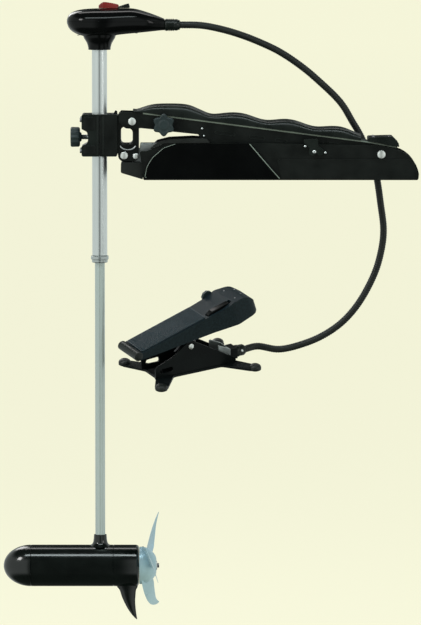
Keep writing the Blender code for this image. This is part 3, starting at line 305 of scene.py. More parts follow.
def smooth_route(points, spacing):
    """Evenly spaced points on a Catmull-Rom curve through the route's own points."""
    ends = [points[0] * 2 - points[1], *points, points[-1] * 2 - points[-2]]
    fine = []
    for near in zip(ends, ends[1:], ends[2:], ends[3:]):
        fine += [between(*near, step / 24) for step in range(24)]
    fine.append(points[-1])
    total = sum((b - a).length for a, b in zip(fine, fine[1:]))
    count = max(2, round(total / spacing))
    result = [fine[0]]
    walked = 0.0
    for a, b in zip(fine, fine[1:]):
        step = (b - a).length
        while len(result) < count and walked + step >= total * len(result) / count:
            share = (total * len(result) / count - walked) / step
            result.append(a.lerp(b, share))
        walked += step
    result.append(fine[-1])
    return result


def smooth_table(rows, count):
    """Rows of numbers resampled evenly on a Catmull-Rom curve through them."""
    padded = [[2 * a - b for a, b in zip(rows[0], rows[1])], *rows]
    padded.append([2 * a - b for a, b in zip(rows[-1], rows[-2])])
    result = []
    for i in range(count):
        place = (len(rows) - 1) * i / (count - 1)
        k = min(int(place), len(rows) - 2)
        result.append([between(*near, place - k) for near in zip(*padded[k : k + 4])])
    return result


def swept(points, radius, sides=24):
    """A round tube along points; radius is a function of the distance walked."""
    rings = []
    side = None
    walked = 0.0
    for i, point in enumerate(points):
        along = (points[min(i + 1, len(points) - 1)] - points[max(i - 1, 0)]).normalized()
        if side is None:
            side = along.orthogonal().normalized()
        side = (side - along * side.dot(along)).normalized()
        up = along.cross(side)
        r = radius(walked)
        ring = []
        for angle in around(sides):
            ring.append(point + side * (r * math.cos(angle)) + up * (r * math.sin(angle)))
        rings.append(ring)
        if i + 1 < len(points):
            walked += (points[i + 1] - point).length
    return lofted(rings)


def bead(points, radius, sides=8):
    """A thin round bead along points."""
    return swept([Vector(point) for point in points], lambda walked: radius, sides)


# ------------------------------ materials


def finish(
    name, colour, roughness, metallic=0.0, mottle=0.12, mottle_scale=25.0, grain=0.0, grain_scale=900.0,
    stretch=(1.0, 1.0, 1.0), spread=0.08, edge_tint=0.0, edge_tint_colour=(0.4, 0.4, 0.4), specular=0.5, slot=True,
):
    """A procedural finish: mottled colour, uneven roughness, a grain bump and edges lightened towards a paler
    colour.
    """
    material = bpy.data.materials.new(name)
    if slot:
        material["slot"] = name
    material.use_nodes = True
    tree = material.node_tree
    links = tree.links
    new = tree.nodes.new
    shader = tree.nodes["Principled BSDF"]
    shader.inputs["Metallic"].default_value = metallic
    shader.inputs["Specular IOR Level"].default_value = specular
    place = new("ShaderNodeTexCoord")
    mapping = new("ShaderNodeMapping")
    mapping.inputs["Scale"].default_value = stretch
    links.new(place.outputs["Object"], mapping.inputs["Vector"])

    broad = new("ShaderNodeTexNoise")
    broad.inputs["Scale"].default_value = mottle_scale
    broad.inputs["Detail"].default_value = 6.0
    links.new(mapping.outputs["Vector"], broad.inputs["Vector"])
    shade = new("ShaderNodeValToRGB")
    dark, light = shade.color_ramp.elements
    dark.position, light.position = 0.3, 0.7
    dark.color = (*[c * (1 - mottle) for c in colour], 1)
    light.color = (*[min(1, c * (1 + mottle)) for c in colour], 1)
    links.new(broad.outputs["Fac"], shade.inputs["Fac"])
    colour_out = shade.outputs["Color"]

    uneven = new("ShaderNodeMapRange")
    uneven.inputs["From Min"].default_value = 0.3
    uneven.inputs["From Max"].default_value = 0.7
    uneven.inputs["To Min"].default_value = max(0.02, roughness - spread)
    uneven.inputs["To Max"].default_value = min(1.0, roughness + spread)
    links.new(broad.outputs["Fac"], uneven.inputs["Value"])
    links.new(uneven.outputs["Result"], shader.inputs["Roughness"])

    # edges found with the Bevel node are lightened towards a paler colour
    if edge_tint > 0:
        edge = new("ShaderNodeBevel")
        edge.samples = 4
        edge.inputs["Radius"].default_value = 1.0 * MM
        flat = new("ShaderNodeNewGeometry")
        dot = new("ShaderNodeVectorMath")
        dot.operation = "DOT_PRODUCT"
        links.new(edge.outputs["Normal"], dot.inputs[0])
        links.new(flat.outputs["Normal"], dot.inputs[1])
        edge_mask = new("ShaderNodeMapRange")
        edge_mask.inputs["From Min"].default_value = 0.99
        edge_mask.inputs["From Max"].default_value = 0.9
        edge_mask.inputs["To Max"].default_value = edge_tint
        links.new(dot.outputs["Value"], edge_mask.inputs["Value"])
        mix = new("ShaderNodeMix")
        mix.data_type = "RGBA"
        links.new(edge_mask.outputs["Result"], mix.inputs["Factor"])
        links.new(colour_out, mix.inputs["A"])
        mix.inputs["B"].default_value = (*edge_tint_colour, 1)
        colour_out = mix.outputs["Result"]
    links.new(colour_out, shader.inputs["Base Color"])

    if grain > 0:
        fine = new("ShaderNodeTexNoise")
        fine.inputs["Scale"].default_value = grain_scale
        fine.inputs["Detail"].default_value = 3.0
        links.new(mapping.outputs["Vector"], fine.inputs["Vector"])
        bump = new("ShaderNodeBump")
        bump.inputs["Strength"].default_value = grain
        bump.inputs["Distance"].default_value = 0.4 * MM
        links.new(fine.outputs["Fac"], bump.inputs["Height"])
        links.new(bump.outputs["Normal"], shader.inputs["Normal"])
    return material


# the paler colour that the edges of the black castings and plastics are lightened towards
BLACK_EDGE = (0.02, 0.026, 0.024)
CASTING = finish(
    "satin_black_casting", (0.0028, 0.0040, 0.0038), 0.34, mottle=0.4, grain=0.3, edge_tint=0.5,
    edge_tint_colour=BLACK_EDGE, specular=0.22,
)
GLOSS = finish("gloss_black_plastic", (0.0016, 0.0019, 0.0021), 0.09, mottle=0.2, spread=0.03, specular=0.16)
POD_PAINT = finish(
    "gloss_black_metal", (0.0014, 0.0026, 0.0023), 0.15, mottle=0.25, spread=0.03, specular=0.6
)
SATIN = finish(
    "satin_black_plastic", (0.0032, 0.0054, 0.0048), 0.30, mottle=0.3, grain=0.2, edge_tint=0.3,
    edge_tint_colour=BLACK_EDGE, specular=0.3,
)
RUBBER = finish(
    "black_rubber", (0.0045, 0.0062, 0.0058), 0.45, mottle=0.3, grain=0.4, grain_scale=500, specular=0.35
)
STAINLESS = finish(
    "polished_stainless", (0.70, 0.74, 0.73), 0.30, 1.0, mottle=0.06, grain=0.03, stretch=(1, 1, 0.03),
    grain_scale=700, spread=0.04,
)
SHAFT = finish(
    "grey_composite_shaft", (0.40, 0.47, 0.49), 0.26, 0.45, mottle=0.05, grain=0.05, stretch=(1, 1, 0.05)
)
ALUMINIUM = finish(
    "bare_aluminium", (0.50, 0.54, 0.53), 0.34, 1.0, mottle=0.12, grain=0.1, stretch=(0.05, 1, 1)
)
PROP_GREY = finish(
    "silver_grey_plastic", (0.31, 0.46, 0.56), 0.34, 0.25, mottle=0.08, grain=0.12, grain_scale=1500
)
KNOB_GREY = finish(
    "blue_grey_plastic", (0.013, 0.023, 0.027), 0.42, mottle=0.2, grain=0.3, edge_tint=0.4,
    edge_tint_colour=(0.05, 0.07, 0.075), specular=0.3,
)
RED = finish("red_plastic", (0.16, 0.012, 0.012), 0.3, mottle=0.12, specular=0.3)
STEEL = finish("dark_steel", (0.25, 0.25, 0.26), 0.35, 1.0, mottle=0.15, grain=0.1)
FERRITE = finish("ferrite", (0.05, 0.05, 0.055), 0.6, mottle=0.2, grain=0.3)
COPPER = finish("copper_winding", (0.5, 0.2, 0.1), 0.35, 1.0, mottle=0.2, grain=0.5, stretch=(0.1, 1, 1))
NYLON = finish("white_nylon", (0.6, 0.59, 0.55), 0.45, mottle=0.06, grain=0.1)
MAT = finish(
    "tread_rubber", (0.016, 0.027, 0.036), 0.5, mottle=0.6, mottle_scale=420, grain=0.9, grain_scale=520,
    spread=0.15, specular=0.25,
)
# pale grey-green for the arm's bare top edges, lightened to paint a highlight along them, and for the painted
# highlight lines on the side panels
EDGE_AND_HIGHLIGHT = finish("machined_edge_and_painted_highlight", (0.15, 0.19, 0.18), 0.4, 0.1, mottle=0.25, grain=0.1, slot=False)
PIN = finish("polished_pin", (0.72, 0.75, 0.74), 0.34, 0.9, mottle=0.1, grain=0.1, slot=False)
PEDAL_BLACK = finish(
    "satin_black_pedal", (0.0020, 0.0032, 0.0036), 0.34, mottle=0.4, grain=0.3, specular=0.12, slot=False
)
TREAD = finish(
    "satin_tread_plastic", (0.0065, 0.0125, 0.0170), 0.45, mottle=0.4, mottle_scale=300, grain=0.5,
    grain_scale=600, specular=0.1, slot=False,
)

NODE_FINISH = {
    CASTING: ["base_housing", "hinge_casting", "clamp_body", "upper_arm"],
    GLOSS: ["side_panel_near", "side_panel_far", "head_top_shell", "head_lower_shell", "momentary_button"],
    POD_PAINT: ["motor_housing", "nose_cone", "tail_housing"],
    SATIN: [
        "arm_cover", "arm_rear_cap", "cable_clip", "clamp_door", "head_cable_gland", "pointer_gear",
        "pedal_cable_gland", "latch_lever", "brush_card",
    ],
    RUBBER: [
        "front_bumper", "cable_lower", "cable_rear", "cable_middle", "cable_front", "shaft_seal",
        "motor_rest_near", "motor_rest_far",
    ],
    STAINLESS: ["outer_tube", "propeller_nut"],
    PIN: [
        "rear_pivot_near", "rear_pivot_far", "link_rear_pin", "arm_front_pin", "link_front_pin_near",
        "link_front_pin_far", "casting_bolt", "pedal_pivot_pin",
    ],
    SHAFT: ["inner_shaft"],
    ALUMINIUM: ["lower_link", "bearing_plate", "tube_collar", "cable_anchor"],
    PROP_GREY: ["propeller"],
    KNOB_GREY: ["tension_knob", "depth_knob", "speed_wheel"],
    RED: ["direction_pointer"],
    STEEL: ["steering_rack", "steering_pinion", "motor_shaft", "cable_sector"],
    FERRITE: ["magnet_upper", "magnet_lower"],
    COPPER: ["armature"],
    NYLON: ["upper_bushing"],
    TREAD: ["pedal_tread"],
    PEDAL_BLACK: ["pedal_base"],
    MAT: ["tread_mat"],
}
EDGE_WIDTH = {
    "hinge_casting": 2.0, "pedal_tread": 2.2, "pedal_base": 1.2, "clamp_body": 1.6, "clamp_door": 1.6,
}
EDGE_WIDTH_ELSEWHERE = 0.8


def dress_cad_nodes():
    """Gives every CAD node its finish and softened edges."""
    for material, names in NODE_FINISH.items():
        for name in names:
            node = NODES[name]
            node.data.materials.clear()
            node.data.materials.append(material)
            if "custom_normal" in node.data.attributes:
                node.data.attributes.remove(node.data.attributes["custom_normal"])
            node.data.polygons.foreach_set("use_smooth", [True] * len(node.data.polygons))
            weld = node.modifiers.new("weld", "WELD")
            weld.merge_threshold = 0.01 * MM
            flat = node.modifiers.new("flat_faces", "DECIMATE")
            flat.decimate_type = "DISSOLVE"
            flat.angle_limit = math.radians(1.0)
            edge = node.modifiers.new("soft_edges", "BEVEL")
            edge.width = EDGE_WIDTH.get(name, EDGE_WIDTH_ELSEWHERE) * MM
            edge.segments = 2
            edge.limit_method = "ANGLE"
            edge.angle_limit = math.radians(32)
            edge.harden_normals = True


# ------------------------------ pieces that stand for CAD nodes


def instead(name, bm, material, *nodes, smooth=35):
    """A detailed piece shown in place of CAD nodes, riding on their body."""
    return piece(name, bm, material, BODY_OF[nodes[0]], nodes, smooth)


def beside(name, bm, material, node):
    """A small piece fixed to the same body as a CAD node."""
    return piece(name, bm, material, BODY_OF[node])


# ------------------------------ column

TUBE_WALL = 2.65
SHAFT_WALL = 2.2


def make_column():
    """The sliding tube, the shaft inside it and the stepped collar at the tube's foot."""
    tube_low, tube_high = low("outer_tube"), high("outer_tube")
    radius = (tube_high.x - tube_low.x) / 2
    foot = (COLUMN_X, 0, tube_low.z)
    tube = sleeve(radius, radius - TUBE_WALL, tube_high.z - tube_low.z, foot, (0, 0, 1))
    instead("column_tube", tube, STAINLESS, "outer_tube")
    shaft_low, shaft_high = low("inner_shaft"), high("inner_shaft")
    radius = (shaft_high.x - shaft_low.x) / 2
    foot = (COLUMN_X, 0, shaft_low.z)
    shaft = sleeve(radius, radius - SHAFT_WALL, shaft_high.z - shaft_low.z, foot, (0, 0, 1))
    instead("drive_shaft", shaft, SHAFT, "inner_shaft")
    inside = radius + 0.3
    top = tube_low.z - 0.3
    profile = [(inside, 22), (13.4, 22), (13.4, 0), (18.2, 0), (19.2, -1), (19.2, -7.6), (18.4, -8.4)]
    profile += [(17.2, -8.8), (17.2, -13.6), (16.2, -15), (inside, -15), (inside, 22)]
    instead("foot_collar", turned(profile, (COLUMN_X, 0, top), (0, 0, 1)), ALUMINIUM, "tube_collar")


# ------------------------------ control head

HEAD_STATIONS = [
    # x, top, bottom, half width
    (-461.5, 347.5, 338.5, 9), (-457, 357, 328, 24), (-447, 364, 319, 38), (-430, 368.5, 312, 49),
    (-405, 370.6, 308.5, 55), (-375, 371.0, 309.5, 56), (-345, 371.2, 314.0, 52),
    (-315, 370.2, 317.0, 44), (-285, 362.0, 320.0, 34), (-262, 353.5, 322.5, 22), (-250, 348.5, 323.5, 15),
]
HEAD_WALL = 3.0


def head_rings(inset):
    """Rounded cross-sections along the head, drawn in by an inset."""
    rings = []
    for x, top, bottom, half in smooth_table(HEAD_STATIONS, 56):
        x += inset * max(-1.0, min(1.0, (-430 - x) / 28)) if x < -430 else 0
        up = (top - bottom) / 2 - inset
        ring = []
        for angle in around(64):
            c, s = math.cos(angle), math.sin(angle)
            y = (half - inset) * math.copysign(abs(c) ** 0.9, c)
            ring.append((x, y, (top + bottom) / 2 + up * math.copysign(abs(s) ** 0.85, s)))
        rings.append(ring)
    return rings


def half_shell(seam, keep_top):
    """One moulded half of the head: outer and inner skins joined round the seam."""
    shell = merged(lofted(head_rings(0.0)), lofted(head_rings(HEAD_WALL)[2:-1]))
    everything = shell.verts[:] + shell.edges[:] + shell.faces[:]
    bmesh.ops.bisect_plane(
        shell, geom=everything, plane_co=(0, 0, seam), plane_no=(0, 0, 1), clear_inner=keep_top,
        clear_outer=not keep_top,
    )
    rim = [edge for edge in shell.edges if edge.is_boundary]
    bmesh.ops.bridge_loops(shell, edges=rim)
    return shell


def make_head():
    """The two glossy shells, the flared neck, the ribbed cable nut and the screws underneath."""
    seam = low("head_top_shell").z
    top = half_shell(seam + 0.1, True)
    bottom = half_shell(seam - 0.3, False)
    bore = 16.65
    neck = [(bore, 326), (37.2, 326), (37.6, 322), (37.2, 317.5), (35.8, 315.5), (35.4, 311), (33.6, 306)]
    neck += [(29.4, 299.5), (27.0, 295), (25.2, 289), (24.4, 285), (24.4, 281.6), (23.6, 281), (bore, 281)]
    neck += [(bore, 326)]
    instead("head_upper_moulding", top, GLOSS, "head_top_shell", smooth=40)
    whole = merged(bottom, turned(neck, (COLUMN_X, 0, 0), (0, 0, 1)))
    for angle in range(15, 360, 30):
        turn = Matrix.Translation((COLUMN_X, 0, 0)) @ Matrix.Rotation(math.radians(angle), 4, "Z")
        rib = lofted([[(27, -1.2, 296), (37, -1.2, 318), (37, -1.2, 323), (24, -1.2, 323)],
                      [(27, 1.2, 296), (37, 1.2, 318), (37, 1.2, 323), (24, 1.2, 323)]])
        whole = merged(whole, moved(rib, turn))
    instead("head_lower_moulding", whole, GLOSS, "head_lower_shell", smooth=40)
    gland = low("head_cable_gland")
    profile = [(8.1, 0), (11.6, 0), (12.0, 2), (13.0, 3.4)]
    for rib in range(4):
        start = 5.0 + 4.4 * rib
        profile += [(13.2, start), (13.2, start + 2.6), (11.9, start + 3.0), (11.9, start + 4.0)]
    profile += [(12.4, 23), (12.4, 28), (11.6, 29.4), (10.7, 32), (10.4, 34), (8.1, 34), (8.1, 0)]
    place = (gland.x, 0, middle("head_cable_gland").z)
    instead("head_cable_nut", turned(profile, place, (1, 0, 0), 48), SATIN, "head_cable_gland")
    for x, y, z in ((-436, -38, 314.6), (-436, 38, 314.6), (-310, -34, 318.8), (-310, 34, 318.8)):
        beside("head_screw", dome(3.2, 1.2, (x, y, z), (0, 0, -1)), STEEL, "head_lower_shell")


ARROW_STATIONS = [
    # share of the length, half width, height
    (0.0, 0.10, 0.42), (0.03, 0.34, 0.55), (0.12, 0.72, 0.80), (0.24, 0.98, 0.99), (0.40, 0.96, 0.97),
    (0.60, 0.88, 0.86), (0.80, 0.80, 0.74), (0.95, 0.66, 0.62), (1.0, 0.50, 0.5),
]
ARROW_SECTION = [
    # across, up
    (-1, 0), (-1, 0.55), (-0.93, 0.85), (-0.75, 1), (0, 1.04), (0.75, 1), (0.93, 0.85), (1, 0.55), (1, 0),
]


def make_pointer():
    """The red direction arrow with a rounded back and its black tail."""
    place = low("direction_pointer")
    far = high("direction_pointer")
    foot = high("head_top_shell").z + 0.3
    rings = []
    for share, half, top in ARROW_STATIONS:
        x = place.x + (far.x - place.x) * share
        width = far.y * half
        rise = (far.z - foot) * top
        rings.append([(x, y * width, foot + z * rise) for y, z in ARROW_SECTION])
    tail = [(-348, 375.4, 6), (-337, 379, 6), (-327, 381.6, 1.5), (-324, 371.8, 2), (-354, 371.8, 1)]
    beside("pointer_tail_fairing", plate(rounded(tail), -9, 9), SATIN, "pointer_gear")
    instead("steering_arrow", lofted(rings), RED, "direction_pointer", smooth=30)


# ------------------------------ clamp, casting and knobs


def make_depth_knob():
    """The fluted depth knob with a dished face, its collar and screw."""
    left, right = low("depth_knob").x, high("depth_knob").x
    z = middle("depth_knob").z
    radius = high("depth_knob").y
    rings = []
    face = [(20.4, 0.84), (19.4, 0.93), (17.4, 0.985), (3.2, 1.0), (1.0, 0.96), (0.0, 0.88), (0.0, 0.74)]
    for x, scale in [*face, (2.0, 0.68)]:
        flute = 0.0 if scale < 0.8 else radius * 0.08
        points = star_outline((0, z), 12, radius, radius - flute, 144)
        rings.append([(left + x, y * scale, z + (h - z) * scale) for y, h in points])
    knob = lofted(rings)
    stem = [(0, 24), (8.0, 24), (10.0, 22.5), (11.0, 18), (0, 18)]
    screw = [(0, 18), (5.0, 18), (5.0, 44), (4.0, right - left), (0, right - left)]
    knob = merged(knob, turned(stem, (left, 0, z), (1, 0, 0)), turned(screw, (left, 0, z), (1, 0, 0)))
    instead("depth_hand_knob", knob, KNOB_GREY, "depth_knob")
    ridge = []
    for turn in range(0, 6 * 24):
        angle = 2 * math.pi * turn / 24
        ridge.append((left + 25.5 + 2.2 * turn / 24, 5.0 * math.cos(angle), z + 5.0 * math.sin(angle)))
    beside("depth_screw_thread", bead(ridge, 0.5, 6), STAINLESS, "depth_knob")


def make_star_knob():
    """The lobed tension knob: domed lobes round a raised hub, and its stud."""
    centre = middle("tension_knob")
    near, far = low("tension_knob").y, high("tension_knob").y
    radius = (high("tension_knob").z - low("tension_knob").z) / 2
    rings = []
    for y, scale in ((20, 0.88), (18.8, 0.96), (17, 1.0), (4.6, 1.0), (2.2, 0.97), (1.0, 0.91), (0.6, 0.82)):
        points = star_outline((centre.x, centre.z), 6, radius, radius * 0.78, 144, math.pi / 2)
        rings.append([(centre.x + (px - centre.x) * scale, near + y, centre.z + (pz - centre.z) * scale)
                      for px, pz in points])
    for y, r in ((1.8, 13.5), (1.4, 11.0), (0.0, 9.0), (0.0, 7.0)):
        hub = [(r * math.cos(angle), r * math.sin(angle)) for angle in around(144)]
        rings.append([(centre.x + hx, near + y, centre.z + hz) for hx, hz in hub])
    stud = [(0, 0), (4.0, 0), (4.0, 7), (11.0, 7), (11.0, far - near - 19), (0, far - near - 19)]
    knob = merged(lofted(rings), turned(stud, (centre.x, far, centre.z), (0, -1, 0)))
    instead("tension_hand_knob", knob, KNOB_GREY, "tension_knob")


def make_clamp_details():
    """Clamp screws, door ribs, the flange at the seam and a rib on the body."""
    z_low, z_high = low("clamp_door").z, high("clamp_door").z
    front = low("clamp_door").x
    for z in (z_low + 12, z_high - 12):
        for y in (-28, 28):
            beside("clamp_screw", socket_screw(5.0, 4.0, (front, y, z), (-1, 0, 0)), STEEL, "clamp_door")
    wall = low("clamp_door").y
    for z0, z1 in ((z_low + 5, 74), (108, z_high - 5)):
        corners = [(front + 5, z1, 2), (COLUMN_X - 8, z1, 2), (COLUMN_X - 8, z0, 2), (front + 5, z0, 2)]
        rib = plate(rounded(corners), wall - 1.4, wall + 0.5)
        beside("clamp_door_rib", rib, CASTING, "clamp_door")
    strip = block((COLUMN_X - 5.5, wall - 2.0, z_low + 3), (COLUMN_X - 1.5, wall + 0.3, z_high - 3), 0.8)
    beside("clamp_seam_flange", strip, SATIN, "clamp_door")
    back = low("clamp_body").y
    rib = block((COLUMN_X + 7, back - 1.6, z_low + 4), (COLUMN_X + 11, back + 0.3, z_high - 4), 0.8)
    beside("clamp_body_rib", rib, SATIN, "clamp_body")


def make_casting_details():
    """The bright lip, a steel crescent that paints the highlight on the casting's lower boss, the bead round the
    window and the washers on the hinge casting.
    """
    y = low("hinge_casting").y
    arc = []
    for step in range(13):
        angle = math.radians(200 + 140 * step / 12)
        arc.append((-329 + 18.0 * math.cos(angle), y - 0.4, 77.5 + 13.0 * math.sin(angle)))
    # a bright steel crescent that paints the highlight on the casting's lower boss
    beside("casting_highlight_lip", bead(arc, 1.5), STAINLESS, "hinge_casting")
    rim = rounded([(-347.0, 74.8, 8), (-316.0, 74.8, 10), (-316.0, 110, 10), (-347.0, 123.5, 12)][::-1])
    loop = [(x, y - 0.1, z) for x, z in rim] + [(rim[0][0], y - 0.1, rim[0][1])]
    beside("window_bead", bead(loop, 1.3), CASTING, "hinge_casting")
    for node, radius in (("arm_front_pin", 8.8), ("casting_bolt", 8.4)):
        place = middle(node)
        head = low(node).y
        hole = radius * 0.72
        profile = [(hole, 0), (radius, 0), (radius, 0.7), (hole, 1.0), (hole, 0)]
        ring = turned(profile, (place.x, head + 3.4, place.z), (0, -1, 0), 40)
        beside(node + "_washer", ring, CASTING, node)


# ------------------------------ arm


ARM_TOP_FRONT = (-303.0, 146.0)
ARM_TOP_REAR = (191.8, 82.8)


def arm_line(x):
    """Height of the straight top edge of the upper arm."""
    (x0, z0), (x1, z1) = ARM_TOP_FRONT, ARM_TOP_REAR
    return z0 + (x - x0) * (z1 - z0) / (x1 - x0)


COVER_TOP = [
    # x, height of the cover's top
    (-318, 148.5), (-300, 154.2), (-281, 161.0), (-262, 163.2), (-240, 163.5), (-216, 163.2), (-196, 161.0),
    (-172, 150.5), (-150, 140.4), (-134, 141.0), (-112, 143.8), (-92, 144.2), (-72, 141.0), (-50, 132.8),
    (-30, 127.0), (-12, 127.8), (8, 130.2), (24, 129.4), (40, 125.8), (60, 118.0), (80, 112.6), (100, 113.6),
    (120, 114.8), (140, 112.4), (160, 104.0), (178, 96.0),
]
COVER_FRONT, COVER_REAR = COVER_TOP[0][0], COVER_TOP[-1][0]
COVER_STATIONS = 130
COVER_WALL = 2.6


def cover_top(x):
    """Height of the scalloped roof at a station."""
    for (x0, z0), (x1, z1) in zip(COVER_TOP, COVER_TOP[1:]):
        if x <= x1:
            share = (x - x0) / (x1 - x0)
            return z0 + (z1 - z0) * share
    return COVER_TOP[-1][1]


def make_cover():
    """The moulded cover: a soft rounded roof with finger grips over a thin side wall."""
    half = high("arm_cover").y
    outer = []
    inner = []
    for i in range(COVER_STATIONS + 1):
        x = COVER_FRONT + (COVER_REAR - COVER_FRONT) * i / COVER_STATIONS
        heights = [cover_top(min(COVER_REAR, max(COVER_FRONT, x + d))) for d in (-9, -4.5, 0, 4.5, 9)]
        top = max(sum(heights) / 5, arm_line(x) + 3.6)
        foot = arm_line(x) + 1.0
        for rings, inset in ((outer, 0.0), (inner, COVER_WALL)):
            ring = []
            for k in range(25):
                angle = math.pi * k / 24
                c, s = math.cos(angle), math.sin(angle)
                y = -(half - inset) * math.copysign(abs(c) ** 0.42, c)
                z = foot + max(top - inset - foot, 0.4) * abs(s) ** 0.62
                ring.append((x, y, z))
            rings.append(ring)
    rings = [a + b[::-1] for a, b in zip(outer, inner)]
    instead("arm_top_cover", lofted(rings), SATIN, "arm_cover", smooth=50)


def make_arm_details():
    """Bright strips on the arm's top edges, partly bare edge and partly a painted highlight, pockets in its cheek,
    the stop pins and the cap's screws.
    """
    for side in (-1, 1):
        y = side * 37.4
        line = [(x, y + side * 0.6, arm_line(x) + 0.3) for x in (-296, -150, 0, 150, 190)]
        line += [(215, y + side * 0.6, 79.0), (255, y + side * 0.6, 71.4)]
        strip = []
        for x, py, pz in line:
            strip.append([(x, py + dy, pz + dz) for dy, dz in ((-1, -2.6), (1, -2.6), (1, 0.6), (-1, 0.6))])
        bm = lofted(strip)
        bmesh.ops.bevel(bm, geom=bm.edges[:], offset=0.4, segments=2, affect="EDGES")
        # the strip's pale colour is partly the bare edge and partly a painted highlight
        beside("arm_edge_near" if side < 0 else "arm_edge_far", bm, EDGE_AND_HIGHLIGHT, "upper_arm")
    wall = -37.0
    for x, width in ((-118, 44), (-48, 34), (4, 26), (112, 34)):
        z = arm_line(x) - 22 + (6 if x > 60 else 0)
        tilt = Matrix.Translation((x, 0, z)) @ Matrix.Rotation(math.radians(7.3), 4, "Y")
        end = width / 2
        pocket = rounded([(-end, 3.4, 3.2), (end, 3.4, 3.2), (end, -3.4, 3.2), (-end, -3.4, 3.2)])
        loop = [(px, wall, pz) for px, pz in pocket] + [(pocket[0][0], wall, pocket[0][1])]
        beside("cheek_pocket_rim", moved(bead(loop, 0.8, 6), tilt), SATIN, "upper_arm")
    for x, z, radius in ((-167.5, 111, 2.8), (-163.5, 95, 2.4)):
        beside("arm_stop_pin", dome(radius, 3.2, (x, wall, z), (0, -1, 0)), STAINLESS, "upper_arm")
    for x in (205, 240):
        for y in (-26, 26):
            beside("cap_screw", dome(3.6, 1.8, (x, y, 92.4), (0, 0, 1)), STEEL, "arm_rear_cap")


def make_latch_details():
    """The head of the latch lever's pivot and the two bright pins beside it."""
    x, _, z = pivot("latch_turn")
    wall = low("latch_lever").y
    for name, radius, height, along, up in (
        ("pivot_head", 4.2, 2.4, 0, 0), ("thumb_pin", 2.8, 2.2, 24, -2), ("catch_pin", 2.8, 2.2, -20, 12),
    ):
        head = dome(radius, height, (x + along, wall, z + up), (0, -1, 0))
        beside("latch_" + name, head, STAINLESS, "latch_lever")


# ------------------------------ base


PANEL_HIGHLIGHT_END_X = -226


def make_base_details():
    """The thin bright lines along the front and rear edges of the side panels, painted highlights on their rounded
    edges.
    """
    corners = [(-294, 3, 2), (-289, 29, 30), (-277, 49, 30), (-253, 70, 20), (-229, 78.5, 12), (-200, 79, 0)]
    edge = [point for point in rounded(corners) if point[0] < PANEL_HIGHLIGHT_END_X]
    edge.sort(key=lambda point: point[1])
    for side, node in ((-1, "side_panel_near"), (1, "side_panel_far")):
        y = side * (abs(WALL_Y) + 0.1)
        line = [(x + 1.6, y, z) for x, z in edge]
        # pale beads that paint the highlight on the panel's rounded front and rear edges
        beside("panel_front_highlight_" + node[11:], bead(line, 0.6, 8), EDGE_AND_HIGHLIGHT, node)
        back = [(-64.5, y, 79.0), (-40, y, 50.3), (-20, y, 27.0), (0.5, y, 4.0)]
        beside("panel_rear_highlight_" + node[11:], bead(back, 1.0, 8), EDGE_AND_HIGHLIGHT, node)


# ------------------------------ pod and propeller


POD_WALL = 3.8
SOCKET_SCREW_Y = -20.5
SKEG = [
    # z, leading edge x, trailing edge x, half thickness
    (POD_Z - POD_R + 4, -357.0, -308.6, 4.6), (POD_Z - POD_R - 3, -353.6, -309.6, 3.5),
    (-905, -348.6, -312.8, 3.3), (-918, -344.4, -314.0, 3.1), (-930, -339.4, -314.6, 2.9),
    (-942, -333.4, -313.9, 2.6), (-953, -326.6, -312.7, 2.2), (-962, -319.4, -311.4, 1.8),
    (-967.5, -314.0, -310.4, 1.3), (-969.4, -311.6, -310.2, 0.8),
]


